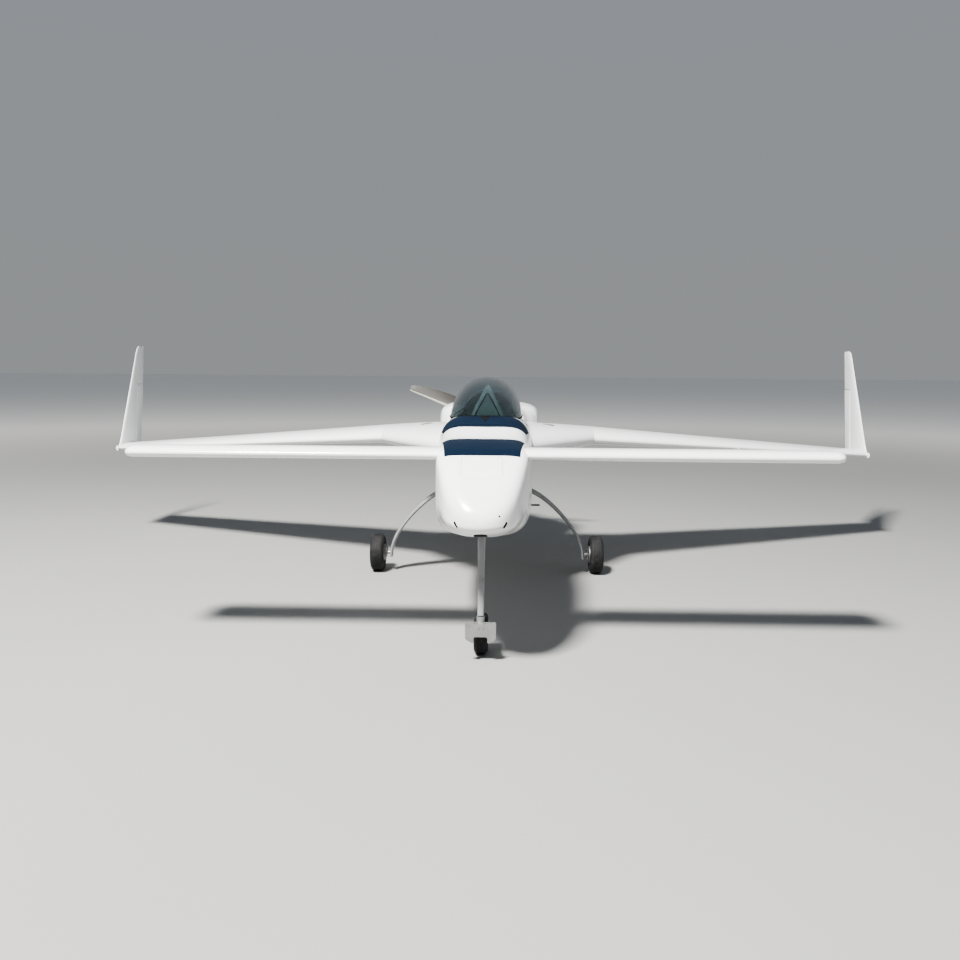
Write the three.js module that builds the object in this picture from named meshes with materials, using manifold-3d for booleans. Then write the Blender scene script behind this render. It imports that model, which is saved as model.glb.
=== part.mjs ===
// Two-seat canard aeroplane with a pusher propeller, parked on its three wheels.
// Millimetres, +Z up, nose towards -Y, +X to the aeroplane's left (port) side.
// Stations run aft from the canard's leading edge, as a builder's drawing gives them;
// the whole group is moved at the end so that its origin is under the middle of its box.
import * as THREE from "three";
import { mergeVertices } from "three/addons/utils/BufferGeometryUtils.js";
import Module from "manifold-3d";

const wasm = await Module();
wasm.setup();

// Driving dimensions
const NOSE_STATION = -420;
const TAIL_STATION = 3930;
const WALL = 24; // sandwich side and floor panels
const SKIN = 9; // nose, deck and cowl mouldings
const GAP = 0.4; // between pieces that are fixed together
const CLEAR = 5; // round anything that moves

const RAIL = 1130; // height where canopy and fuselage side part
const NOSE_JOINT = 16; // the nose moulding ends here and the shell round the feet begins
const DECK_START = 360;
const DECK_LOW = 1080; // lower edge of the forward deck
const COVER_START = -60; // front edge of the canard cover
const CANOPY_START = 610;
const CANOPY_END = 2660;
const TUB_END = 2891; // the tub stops just ahead of the firewall, the cowl starts just behind it
const FIREWALL = { front: 2892, back: 2897 };
const COWL_START = 2899;
const ARMREST_TOP = 800;

const CANARD = { half: 1912, chord: 325, z: 1058, thick: 0.2, camber: 0.015 };
const ELEVATOR = { hinge: 250, radius: 14, inner: 282, outer: 1806 };
const WING = { root: 787, tip: 3336, rootEdge: 1980, sweep: 1404 / 2603, rootChord: 900 };
const WING_TAPER = 450 / 2603; // chord lost for each millimetre of span
const WING_DROP = 221 / 2603; // height lost for each millimetre of span
const WING_ROOT_Z = 1000;
const STRAKE = { inner: 240, edge: 1105, z: 1004, thick: 0.112 };
const AILERON = { inner: 880, outer: 2010, hinge: 0.8 };
const FENCE_X = 2020;
const RUDDER = { station: 3790, low: 776, high: 1345, radius: 15 };
const WINGLET_X = 3360; // at the height of the rudder's lower end
const WINGLET_LEAN = 0.0633; // inward for each millimetre of height

const MAIN_WHEEL = { x: 815, station: 1980, radius: 140, width: 100, rim: 68 };
const NOSE_WHEEL = { station: -10, radius: 110, width: 76, rim: 52 };
const CASTER = { station: -132, top: 240, bottom: 180 };
const PROP = { station: 3690, z: 1070, radius: 785, tilt: 19, spinner: 128 };

// Body sections. Columns: station, half width, lowest z, z of the widest place, highest z,
// power of the lower corners, power of the upper corners (2 is an ellipse, 5 nearly a box).
const BODY = [
  [-420, 10, 749, 757, 765, 2, 2],
  [-417, 38, 737, 757, 783, 2, 2.2],
  [-408, 72, 725, 757, 805, 2, 2.8],
  [-390, 106, 713, 760, 834, 2.1, 3.3],
  [-355, 143, 701, 768, 874, 2.3, 3.8],
  [-295, 180, 684, 795, 930, 2.5, 4.3],
  [-200, 210, 664, 840, 997, 2.7, 5],
  [-100, 230, 647, 880, 1048, 2.9, 6],
  [-50, 238, 640, 885, 1071, 3, 7],
  [0, 245, 632, 870, 1094, 3.2, 8],
  [110, 250, 618, 850, 1112, 3.9, 8],
  [240, 257, 606, 845, 1124, 4.4, 7],
  [360, 264, 597, 845, 1134, 5, 5.6],
  [600, 278, 580, 855, 1186, 5.8, 4.4],
  [760, 287, 572, 865, 1228, 6.6, 4],
  [1000, 295, 567, 870, 1232, 7.6, 3.8],
  [1500, 299, 563, 870, 1234, 8, 3.5],
  [2000, 296, 577, 870, 1236, 8, 3.5],
  [2400, 288, 618, 880, 1240, 7, 3.5],
  [2900, 276, 700, 900, 1245, 5, 3.5],
];

// Canopy bubble, same columns; its lower half is cut away at the frame.
const BUBBLE = [
  [742, 60, 1150, 1176, 1196, 2.2, 2.2],
  [760, 118, 1150, 1176, 1230, 2.2, 2.2],
  [800, 164, 1150, 1178, 1262, 2.2, 2.2],
  [880, 203, 1150, 1180, 1308, 2.2, 2.2],
  [1000, 222, 1150, 1183, 1357, 2.2, 2.2],
  [1200, 232, 1150, 1186, 1412, 2.2, 2.2],
  [1450, 236, 1150, 1188, 1450, 2.2, 2.2],
  [1700, 235, 1150, 1188, 1461, 2.2, 2.2],
  [2000, 230, 1150, 1188, 1447, 2.2, 2.2],
  [2300, 221, 1150, 1188, 1408, 2.2, 2.2],
  [2642, 206, 1150, 1188, 1340, 2.2, 2.2],
  [2900, 190, 1150, 1186, 1272, 2.2, 2.2],
];

// Engine cowl, same columns.
const COWL = [
  [2899, 398, 704, 1030, 1230, 3.6, 4.6],
  [2990, 416, 700, 1030, 1236, 3.6, 4.6],
  [3140, 420, 706, 1034, 1239, 3.6, 4.4],
  [3300, 388, 742, 1044, 1236, 3.3, 3.8],
  [3450, 300, 816, 1058, 1226, 2.8, 3.2],
  [3560, 206, 888, 1068, 1212, 2.3, 2.5],
  [3640, 150, 925, 1070, 1210, 2, 2],
];

// Fairings behind the canopy that spread the body out to the cowl's cheeks, same columns.
const TURTLE = [
  [2665, 286, 690, 1010, 1238, 4, 3.5],
  [2760, 316, 694, 1014, 1235, 3.8, 3.8],
  [2840, 366, 700, 1020, 1231, 3.6, 4.3],
  [2898, 397, 704, 1030, 1230, 3.6, 4.6],
];
const CHEEK_SPLIT = 1004; // the cheeks above belong to the turtledeck, below to the lower cowl

// Air scoop under the cowl, same columns.
const SCOOP = [
  [2610, 165, 588, 622, 672, 3, 3],
  [2760, 178, 596, 640, 704, 3, 3],
  [2960, 186, 640, 680, 730, 3, 3],
];

// Winglet. Columns: z, leading edge station, chord, thickness over chord.
const WINGLET = [
  [766, 3404, 526, 0.085],
  [794, 3412, 518, 0.083],
  [826, 3440, 490, 0.085],
  [873, 3462, 468, 0.09],
  [1175, 3575, 355, 0.092],
  [1636, 3748, 182, 0.092],
  [1681, 3770, 160, 0.085],
  [1700, 3800, 125, 0.06],
];

// Main gear bow, from the middle outwards. Columns: x, z, chord along the body, thickness.
const BOW = [
  [0, 693, 150, 34],
  [110, 687, 150, 34],
  [220, 664, 146, 34],
  [340, 612, 140, 32],
  [452, 538, 132, 30],
  [576, 415, 120, 27],
  [665, 290, 108, 25],
  [706, 190, 100, 24],
  [716, 112, 94, 24],
];

// Paint and materials
const finish = (color, roughness, metalness = 0) =>
  new THREE.MeshStandardMaterial({ color, roughness, metalness });
const WHITE = finish(0xf1f3f4, 0.22);
const BLUE = finish(0x17263d, 0.22);
const GLAZING = finish(0x3f6c6e, 0.06);
const GREY = finish(0x8d9296, 0.5);
const ALLOY = finish(0xa9adb0, 0.38, 0.9);
const STEEL = finish(0x7c8084, 0.3, 0.9);
const TYRE = finish(0x1a1a1b, 0.85);
const BLADE = finish(0x6c685f, 0.42);
const TRIM = finish(0x2a2c30, 0.7);
const CLOTH = finish(0x4a5560, 0.92);

const point = (x, y, z) => new THREE.Vector3(x, y, z);

// A closed geometry as a solid that can be joined and cut.
function solidOf(geometry) {
  const bare = geometry.clone();
  bare.deleteAttribute("normal");
  bare.deleteAttribute("uv");
  const merged = mergeVertices(bare, 1e-3);
  const triVerts = new Uint32Array(merged.index.array);
  const vertProperties = merged.attributes.position.array;
  const made = new wasm.Manifold(new wasm.Mesh({ numProp: 3, vertProperties, triVerts }));
  if (made.volume() > 0) return made;
  return solidOf(new THREE.BufferGeometry().setAttribute("position", merged.attributes.position)
    .setIndex([...triVerts].reverse()));
}

const box = (x0, x1, y0, y1, z0, z1) =>
  solidOf(new THREE.BoxGeometry(x1 - x0, y1 - y0, z1 - z0)
    .translate((x0 + x1) / 2, (y0 + y1) / 2, (z0 + z1) / 2));

// A rod between two points, with a radius at each end.
function rod(from, to, radius, endRadius = radius, sides = 20) {
  const along = to.clone().sub(from);
  const turn = new THREE.Quaternion().setFromUnitVectors(point(0, 1, 0), along.clone().normalize());
  return solidOf(new THREE.CylinderGeometry(endRadius, radius, along.length(), sides)
    .applyQuaternion(turn).translate(...from.clone().addScaledVector(along, 0.5).toArray()));
}

// A skin through rings of equal count. In each ring, point i faces point count - i,
// so the two ends close with strips between the facing sides.
function loft(rings) {
  const count = rings[0].length;
  const position = rings.flat().flatMap((p) => p.toArray());
  const index = [];
  for (let r = 0; r + 1 < rings.length; r++) {
    for (let i = 0; i < count; i++) {
      const a = r * count + i;
      const b = r * count + ((i + 1) % count);
      index.push(a, b, a + count, b, b + count, a + count);
    }
  }
  const end = (rings.length - 1) * count;
  for (let i = 0; i < count / 2; i++) {
    const [a, b] = [i, i + 1];
    const [c, d] = [count - i - 1, (count - i) % count];
    for (const tri of [[a, d, b], [b, d, c]]) {
      if (new Set(tri).size < 3) continue;
      index.push(...tri);
      index.push(...tri.map((k) => end + k).reverse());
    }
  }
  const geometry = new THREE.BufferGeometry()
    .setAttribute("position", new THREE.Float32BufferAttribute(position, 3)).setIndex(index);
  return solidOf(geometry);
}

// A table's row at any station, on a smooth curve through its rows.
function rowAt(table, at) {
  const i = Math.max(0, Math.min(table.length - 2, table.findLastIndex((row) => row[0] <= at)));
  const [a, b] = [table[i], table[i + 1]];
  const [before, after] = [table[i - 1] ?? a, table[i + 2] ?? b];
  const width = b[0] - a[0];
  const t = (at - a[0]) / width;
  return a.map((value, k) => {
    if (k === 0) return at;
    const leaving = ((b[k] - before[k]) / (b[0] - before[0])) * width;
    const arriving = ((after[k] - value) / (after[0] - a[0])) * width;
    const rise = b[k] - value;
    return value + leaving * t + (3 * rise - 2 * leaving - arriving) * t * t
      + (leaving + arriving - 2 * rise) * t * t * t;
  });
}

// One section of a body, grown outwards or inwards, starting at its top.
function sectionRing([station, half, low, wide, high, lowPower, highPower], grow, count) {
  return Array.from({ length: count }, (_, i) => {
    const turn = Math.PI / 2 - (2 * Math.PI * i) / count;
    const [c, s] = [Math.cos(turn), Math.sin(turn)];
    const power = 2 / (s > 0 ? highPower : lowPower);
    const reach = s > 0 ? high - wide : wide - low;
    const x = Math.sign(c) * Math.abs(c) ** power * Math.max(half + grow, 1);
    const z = Math.sign(s) * Math.abs(s) ** power * Math.max(reach + grow, 1);
    return point(x, station, wide + z);
  });
}

// A body between two stations; rings fall on the table's rows and about every step between.
function body(table, from, to, grow = 0, step = 260, count = 24) {
  const inside = table.map((row) => row[0]).filter((s) => s > from + 1 && s < to - 1);
  const marks = [from, ...inside, to];
  const stations = [from];
  for (let i = 0; i + 1 < marks.length; i++) {
    const parts = Math.max(1, Math.round((marks[i + 1] - marks[i]) / step));
    for (let k = 1; k <= parts; k++) stations.push(marks[i] + ((marks[i + 1] - marks[i]) * k) / parts);
  }
  return loft(stations.map((s) => sectionRing(rowAt(table, s), grow, count)));
}

// A wing section: fractions of the chord, forward point first, over the top and back below.
function aerofoil(thick, camber, count = 11) {
  const upper = [];
  const lower = [];
  for (let i = 1; i < count; i++) {
    const x = (1 - Math.cos((Math.PI * i) / count)) / 2;
    const half = 5 * thick * (0.2969 * Math.sqrt(x) - 0.126 * x - 0.3516 * x ** 2
      + 0.2843 * x ** 3 - 0.1015 * x ** 4);
    const mean = 4 * camber * x * (1 - x);
    upper.push([x, mean + half]);
    lower.unshift([x, mean - half]);
  }
  return [[0, 0], ...upper, [1, 0], ...lower];
}

// A flat closed prism between two like outlines, one on each side of a plane.
function slab(corners, half) {
  return loft([-1, 1].map((side) => corners.map((c) => c.clone().addScaledVector(half, side))));
}

// The largest piece left by a cut.
const largest = (solid) => solid.decompose().sort((a, b) => b.volume() - a.volume())[0];

const mirrored = (solid) => {
  const mesh = solid.getMesh();
  const position = Array.from(mesh.vertProperties, (v, i) => (i % 3 ? v : -v));
  return solidOf(new THREE.BufferGeometry()
    .setAttribute("position", new THREE.Float32BufferAttribute(position, 3))
    .setIndex([...mesh.triVerts].reverse()));
};

const aircraft = new THREE.Group();
aircraft.position.y = -(NOSE_STATION + TAIL_STATION) / 2;

function add(name, solid, material) {
  const mesh = solid.getMesh();
  const geometry = new THREE.BufferGeometry()
    .setAttribute("position", new THREE.BufferAttribute(mesh.vertProperties, 3))
    .setIndex(new THREE.BufferAttribute(mesh.triVerts, 1)).toNonIndexed();
  geometry.computeVertexNormals();
  const piece = new THREE.Mesh(geometry, material);
  piece.name = name;
  aircraft.add(piece);
}

// The same piece on both sides, modelled on the port side.
function addPair(name, solid, material) {
  add(`${name}_port`, solid, material);
  add(`${name}_starboard`, mirrored(solid), material);
}

// A control surface round its hinge line: a rounded nose, then straight to its trailing edge.
function control(a, b, radiusA, radiusB, chordA, chordB, up) {
  const along = b.clone().sub(a).normalize();
  const aft = point(0, 1, 0).addScaledVector(along, -along.y).normalize();
  const over = up.clone().addScaledVector(along, -up.dot(along))
    .addScaledVector(aft, -up.dot(aft)).normalize();
  const ring = (centre, radius, chord) => {
    const outline = [];
    const edge = 1.5;
    for (let i = 0; i <= 6; i++) {
      const turn = (Math.PI * (i - 6)) / 12;
      outline.push([Math.sin(turn) * radius, Math.cos(turn) * radius]);
    }
    const top = [[-radius, 0], ...outline.slice(1), [chord, edge]];
    const bottom = top.slice(1).reverse().map(([u, v]) => [u, -v]);
    return [...top, [chord, 0], ...bottom]
      .map(([u, v]) => centre.clone().addScaledVector(aft, u).addScaledVector(over, v));
  };
  return { solid: loft([ring(a, radiusA, chordA), ring(b, radiusB, chordB)]), along, aft, over };
}

// The room that a control surface turns in, cut out of what carries it.
function controlRoom(a, b, radius, chord, { along, aft, over }) {
  const corner = (end, side, reach) => end.clone().addScaledVector(along, side * CLEAR)
    .addScaledVector(aft, reach);
  const front = -(radius + CLEAR);
  return slab([
    corner(a, -1, front), corner(b, 1, front), corner(b, 1, chord + 60), corner(a, -1, chord + 60),
  ], over.clone().multiplyScalar(90));
}

// Canard: one straight foam-cored surface through the top of the nose.
function canardSolid(grow) {
  const { half, chord, z, thick, camber } = CANARD;
  const outline = aerofoil(thick, camber);
  const tips = [[half, 0.42], [half - 4, 0.66], [half - 14, 0.84], [half - 32, 0.96], [half - 60, 1]];
  const spans = [...tips.map(([x, size]) => [-x, size]), ...tips.reverse()];
  return loft(spans.map(([x, size]) => outline.map(([u, v]) => {
    const length = chord * size + 2 * grow;
    const front = (chord * (1 - size)) / 2 - grow;
    return point(x, front + u * length, z + v * chord * size * (1 + grow / 30));
  })));
}

const elevatorEnds = [ELEVATOR.inner, ELEVATOR.outer]
  .map((x) => point(x, ELEVATOR.hinge, CANARD.z + 3));
const elevator = control(...elevatorEnds, ELEVATOR.radius, ELEVATOR.radius,
  CANARD.chord - ELEVATOR.hinge, CANARD.chord - ELEVATOR.hinge, point(0, 0, 1));
const elevatorPin = rod(
  point(elevatorEnds[0].x - 60, elevatorEnds[0].y, elevatorEnds[0].z),
  point(elevatorEnds[1].x + 24, elevatorEnds[1].y, elevatorEnds[1].z), 7);
const elevatorPinHole = rod(
  point(elevatorEnds[0].x - 66, elevatorEnds[0].y, elevatorEnds[0].z),
  point(elevatorEnds[1].x + 30, elevatorEnds[1].y, elevatorEnds[1].z), 8.2);
const elevatorRoom = controlRoom(...elevatorEnds, ELEVATOR.radius, 80, elevator)
  .add(box(-1, ELEVATOR.inner, ELEVATOR.hinge - 19, 420, 900, 1200));
const bothSides = (solid) => solid.add(mirrored(solid));
add("canard", largest(canardSolid(0).subtract(bothSides(elevatorRoom))
  .subtract(bothSides(elevatorPinHole))), WHITE);
addPair("elevator", elevator.solid.add(elevatorPin), WHITE);

// Nose moulding and the shell round the front occupant's feet, joined under the canard; both have
// the canard's seat cut into their tops and the strut's slot in their floors.
const NOSE_SKIN = 25; // laid up thick, as it is the aeroplane's bumper
const noseInside = body(BODY, -330, DECK_START + 20, -NOSE_SKIN, 260, 18);
const coverCut = CANARD.z + 2;
const coverBox = box(-400, 400, COVER_START, DECK_START - 2, coverCut, 1300);
const strutSlot = box(-34, 34, -340, 120, 500, 760);
const noseSolid = body(BODY, NOSE_STATION, DECK_START, 0, 130, 28)
  .subtract(noseInside)
  .subtract(box(-400, 400, COVER_START - 1, DECK_START + 1, coverCut - GAP, 1300))
  .subtract(canardSolid(1))
  .subtract(bothSides(elevatorPinHole))
  .subtract(strutSlot);
const noseZone = (from, to) => box(-400, 400, from, to, 400, 1300);
add("nose_shell", largest(noseSolid.intersect(noseZone(NOSE_STATION - 10, NOSE_JOINT))), WHITE);
add("footwell_shell",
  largest(noseSolid.intersect(noseZone(NOSE_JOINT + GAP, DECK_START + 10))), WHITE);

// Removable cover over the canard's middle.
const coverHollow = body(BODY, 260, DECK_START + 20, -SKIN, 200)
  .intersect(box(-400, 400, 270, 500, 900, 1300));
const coverSolid = body(BODY, COVER_START, DECK_START - 2, 0, 130, 28)
  .intersect(coverBox)
  .subtract(coverHollow)
  .subtract(canardSolid(1));
add("canard_cover", largest(coverSolid), BLUE);

// Fuselage tub: floor, two side panels and forward deck, cut from one shell.
const tubOuter = body(BODY, DECK_START + GAP, TUB_END);
const tubInner = body(BODY, DECK_START - 40, TUB_END + 40, -WALL, 400, 18);
const tubShell = tubOuter.subtract(tubInner);
const FLOOR_SPLIT = 656;
const brakeHatch = { from: 1190, to: 1570, half: 180, thick: 14 };
const hatchRoom = box(-brakeHatch.half - CLEAR, brakeHatch.half + CLEAR,
  brakeHatch.from - CLEAR, brakeHatch.to + CLEAR, 500, 563 + brakeHatch.thick + CLEAR);
const tunnelFront = MAIN_WHEEL.station - 100;
const tunnelBack = MAIN_WHEEL.station + 100;
const splitRise = 140; // the joint between floor and sides climbs with the belly behind the gear
const floorZone = box(-400, 400, 0, tunnelBack, 300, FLOOR_SPLIT).add(loft([-400, 400].map((x) => [
  point(x, tunnelBack, 300), point(x, 3000, 300), point(x, 3000, FLOOR_SPLIT + splitRise),
  point(x, tunnelBack, FLOOR_SPLIT),
])));
const floorSolid = tubShell.intersect(floorZone).subtract(hatchRoom);
add("fuselage_floor", largest(floorSolid.intersect(box(-400, 400, 0, tunnelFront, 0, 2000))), WHITE);
add("fuselage_floor_rear",
  largest(floorSolid.intersect(box(-400, 400, tunnelBack, 3000, 0, 2000))), WHITE);
const sideSolid = tubShell
  .intersect(box(0, 400, 0, 3000, 400, RAIL - CLEAR / 2))
  .subtract(box(-400, 400, 0, CANOPY_START - CLEAR, DECK_LOW, 1300))
  .subtract(floorZone.translate([0, 0, GAP]))
  .subtract(loft(bowRings(GAP)));
const armrest = box(196, 276, 800, 1300, 770, ARMREST_TOP)
  .add(box(196, 276, 1300, 1560, 770, ARMREST_TOP + 12)); // raised elbow rest behind
addPair("fuselage_side", largest(sideSolid.add(armrest)), WHITE);
const deckSolid = tubOuter
  .intersect(box(-400, 400, 0, CANOPY_START - CLEAR - GAP, DECK_LOW + GAP, 1300))
  .subtract(body(BODY, DECK_START - 40, CANOPY_START + 40, -SKIN));
add("forward_deck", largest(deckSolid), WHITE);

// Landing gear bow in its tunnel, and the belly cover under it.
function bowRings(grow) {
  const half = BOW.map(([x, z, chord, thick], i) => {
    const next = BOW[Math.min(i + 1, BOW.length - 1)];
    const last = BOW[Math.max(i - 1, 0)];
    const tangent = i === 0 ? point(1, 0, 0) : point(next[0] - last[0], 0, next[1] - last[1]).normalize();
    const normal = point(-tangent.z, 0, tangent.x);
    return Array.from({ length: 16 }, (_, k) => {
      const turn = (2 * Math.PI * k) / 16;
      const across = Math.sign(Math.cos(turn)) * Math.abs(Math.cos(turn)) ** 0.8 * (chord / 2 + grow);
      const depth = Math.sign(Math.sin(turn)) * Math.abs(Math.sin(turn)) ** 0.8 * (thick / 2 + grow);
      return point(x, MAIN_WHEEL.station - across, z).addScaledVector(normal, depth);
    });
  });
  const other = half.slice(1).reverse().map((ring) => ring.map((p) => point(-p.x, p.y, p.z)));
  return [...other, ...half];
}
const bow = loft(bowRings(0));
add("main_gear_bow", bow, GREY);
const bellyCover = tubShell
  .intersect(box(-400, 400, tunnelFront + GAP, tunnelBack - GAP, 400, FLOOR_SPLIT - GAP))
  .subtract(loft(bowRings(GAP)));
add("gear_cover", largest(bellyCover), WHITE);

// Belly air brake, hinged along its front edge.
const brakePlate = box(-brakeHatch.half, brakeHatch.half, brakeHatch.from, brakeHatch.to,
  500, 563 + brakeHatch.thick);
add("belly_brake", largest(tubOuter.intersect(brakePlate)), WHITE);

// Turtledeck, closed behind by its own wall, and firewall.
const bubbleTail = body(BUBBLE, CANOPY_END + CLEAR, 2898, 6);
const strakeRing = (x, grow) => {
  const t = (x - STRAKE.inner) / (WING.root - STRAKE.inner);
  const edge = THREE.MathUtils.lerp(STRAKE.edge, WING.rootEdge, t) - grow;
  const z = THREE.MathUtils.lerp(STRAKE.z, WING_ROOT_Z, t);
  const chord = 2880 - edge + grow;
  const thick = THREE.MathUtils.lerp(STRAKE.thick, 0.14, t) + (2 * grow) / chord;
  return aerofoil(thick, 0.02).map(([u, v]) => point(x, edge + u * chord, z + v * chord));
};
const strakeSolid = (grow) => loft([STRAKE.inner, 420, 600, WING.root].map((x) => strakeRing(x, grow)));
const bodyPadded = body(BODY, 300, TUB_END + 4, GAP);
const besideBody = (from, to, low, high) => box(-500, 500, from, to, low, high)
  .subtract(body(BODY, 2400, to + 4, GAP * 3));
const turtleSolid = body(TURTLE, CANOPY_END + CLEAR, 2898, 0, 120)
  .add(bubbleTail)
  .subtract(body(TURTLE, CANOPY_END - 40, 2898 - SKIN, -SKIN, 240))
  .subtract(body(BUBBLE, CANOPY_END - 40, 2898 - SKIN, -SKIN))
  .intersect(box(-500, 500, 2600, 2898, RAIL - CLEAR / 2 + GAP, 1400)
    .add(besideBody(2640, 2898, CHEEK_SPLIT + GAP, RAIL)))
  .subtract(bothSides(strakeSolid(1)));
add("turtledeck", largest(turtleSolid), WHITE);

const firewallPlate = body(COWL, COWL_START, COWL_START + 26, -22).translate([0, -20, 0])
  .intersect(box(-500, 500, FIREWALL.front, FIREWALL.back, 0, 2000));
add("firewall", firewallPlate.subtract(turtleSolid), STEEL);

// Strakes run from the fuselage side to the wing joint.
const strakeTank = loft([360, WING.root + 40].map((x) => {
  const ring = strakeRing(x, -14);
  return ring.map((p) => point(p.x, Math.min(p.y, 2790), p.z));
}));
addPair("strake", largest(strakeSolid(0).subtract(bodyPadded).subtract(strakeTank)), WHITE);

// Outer wings, swept and tapered, hollow from the root as the foam core weighs little.
function wingPlace(x) {
  const out = x - WING.root;
  return {
    edge: WING.rootEdge + out * WING.sweep,
    chord: WING.rootChord - out * WING_TAPER,
    z: WING_ROOT_Z - out * WING_DROP,
  };
}
function wingRing(x, size = 1) {
  const { edge, chord, z } = wingPlace(x);
  const thick = THREE.MathUtils.lerp(0.14, 0.115, (x - WING.root) / (WING.tip - WING.root));
  return aerofoil(thick * size, 0.02).map(([u, v]) =>
    point(x, edge + (0.5 + (u - 0.5) * (size < 1 ? 0.9 : 1)) * chord, z + v * chord + (1 - size) * 3));
}
function hingePoint(x, fraction) {
  const { edge, chord, z } = wingPlace(x);
  return point(x, edge + chord * fraction, z + 4 * 0.02 * fraction * (1 - fraction) * chord);
}
const aileronEnds = [AILERON.inner, AILERON.outer].map((x) => hingePoint(x, AILERON.hinge));
const aileronRadii = [23, 17];
const aileronLine = aileronEnds[1].clone().sub(aileronEnds[0]).normalize();
const aileronAft = point(0, 1, 0).addScaledVector(aileronLine, -aileronLine.y).normalize();
const trailingSlope = WING.sweep - WING_TAPER;
const aileronChords = aileronEnds.map((p) => {
  const edge = wingPlace(p.x);
  return (edge.edge + edge.chord - p.y) / (aileronAft.y - aileronAft.x * trailingSlope);
});
const aileron = control(...aileronEnds, ...aileronRadii, ...aileronChords, point(0, 0, 1));
const aileronRoom = controlRoom(...aileronEnds, aileronRadii[0], aileronChords[0], aileron);
const beyond = (line, a, b, extra) => [
  a.clone().addScaledVector(line, -extra), b.clone().addScaledVector(line, extra)];
const aileronPin = rod(...beyond(aileronLine, ...aileronEnds, 26), 7, 7, 12);
const aileronPinHole = rod(...beyond(aileronLine, ...aileronEnds, 32), 8.2, 8.2, 12);
const rudderFront = RUDDER.station - RUDDER.radius - CLEAR - 3;
const rudderRoom = box(WINGLET_X - 32, WINGLET_X + 60, rudderFront, 4000,
  RUDDER.low - CLEAR - 20, RUDDER.high);
const wingCore = loft([WING.root - 60, 3200].map((x) => wingRing(x, 0.84)));
const fence = wingPlace(FENCE_X);
const wingSolid = loft([WING.root + GAP, FENCE_X, WING.tip].map((x) => wingRing(x)))
  .subtract(wingCore.subtract(slab([
    aileronEnds[0].clone().addScaledVector(aileronLine, -60).addScaledVector(aileronAft, -70),
    aileronEnds[1].clone().addScaledVector(aileronLine, 60).addScaledVector(aileronAft, -70),
    aileronEnds[1].clone().addScaledVector(aileronLine, 60).addScaledVector(aileronAft, 400),
    aileronEnds[0].clone().addScaledVector(aileronLine, -60).addScaledVector(aileronAft, 400),
  ], point(0, 0, 150))))
  .subtract(aileronRoom)
  .subtract(aileronPinHole)
  .subtract(rudderRoom)
  .add(box(FENCE_X - 2, FENCE_X + 2, fence.edge - 10, fence.edge + 90, fence.z - 42, fence.z + 6));
addPair("wing", largest(wingSolid), WHITE);
addPair("aileron", aileron.solid.add(aileronPin), WHITE);

// Winglets with a root that caps the wing tip, and rudders on their trailing edges.
const wingletX = (z) => WINGLET_X - (z - RUDDER.low) * WINGLET_LEAN;
const wingletRings = WINGLET.map(([z, edge, chord, thick]) => aerofoil(thick, 0)
  .map(([u, v]) => point(wingletX(z) - v * chord, edge + u * chord, z)));
const tipPlace = wingPlace(WING.tip);
const shoeOutline = [[0, -14], [5, 20], [24, 70], [30, 200], [24, 330], [16, 420]];
const shoe = loft([-22, 22].map((dz) => {
  const at = (x, dy) => point(x, tipPlace.edge + dy, tipPlace.z + dz);
  const outer = shoeOutline.map(([dx, dy]) => at(WING.tip + GAP + 18 + dx, dy));
  const inner = [...shoeOutline].reverse().map(([, dy]) => at(WING.tip + GAP, dy));
  return [...outer, ...inner];
}));
const rudderEnds = [RUDDER.low, RUDDER.high].map((z) => point(wingletX(z), RUDDER.station, z));
const rudderLine = rudderEnds[1].clone().sub(rudderEnds[0]).normalize();
const rudder = control(...rudderEnds, RUDDER.radius, RUDDER.radius - 5,
  TAIL_STATION - RUDDER.station, TAIL_STATION - RUDDER.station, point(1, 0, 0));
const rudderPin = rod(...beyond(rudderLine, ...rudderEnds, 22), 5, 5, 12);
const rudderPinHole = rod(...beyond(rudderLine, ...rudderEnds, 28), 6, 6, 12);
const wingletSolid = loft(wingletRings).add(shoe)
  .subtract(box(WINGLET_X - 90, WINGLET_X + 90, rudderFront, 4000, 600, RUDDER.high + CLEAR + 2))
  .subtract(rudderPinHole);
addPair("winglet", largest(wingletSolid), WHITE);
addPair("rudder", rudder.solid.add(rudderPin), WHITE);

// Canopy: tinted bubble in a moulded frame, hinged along its starboard edge.
const bubbleOuter = body(BUBBLE, 742, 2642, 0, 300, 28);
const bubbleInner = body(BUBBLE, 752, 2700, -4, 300, 28);
const glassLow = 1172;
const glassSolid = bubbleOuter.subtract(bubbleInner)
  .intersect(box(-300, 300, 700, 2642, glassLow, 1500));
add("canopy_glass", largest(glassSolid), GLAZING);
const frameOuter = body(BODY, CANOPY_START, CANOPY_END)
  .add(body(BUBBLE, 2642 + GAP, CANOPY_END, 6));
const framePocket = body(BODY, CANOPY_START - 40, CANOPY_END + 40, -22)
  .intersect(box(-400, 400, 500, 3000, 1000, glassLow - GAP));
const frameSolid = frameOuter
  .intersect(box(-400, 400, CANOPY_START, CANOPY_END, RAIL + CLEAR / 2, 1500))
  .subtract(body(BUBBLE, 742 - 2, 2642 + GAP, GAP, 300, 28))
  .subtract(body(BUBBLE, 800, 2900, -14, 400, 18))
  .subtract(body(BODY, CANOPY_START - 40, 860, -SKIN).intersect(box(-400, 400, 0, 790, 1000, 1300)))
  .subtract(framePocket);
add("canopy_frame", largest(frameSolid), WHITE);

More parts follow.
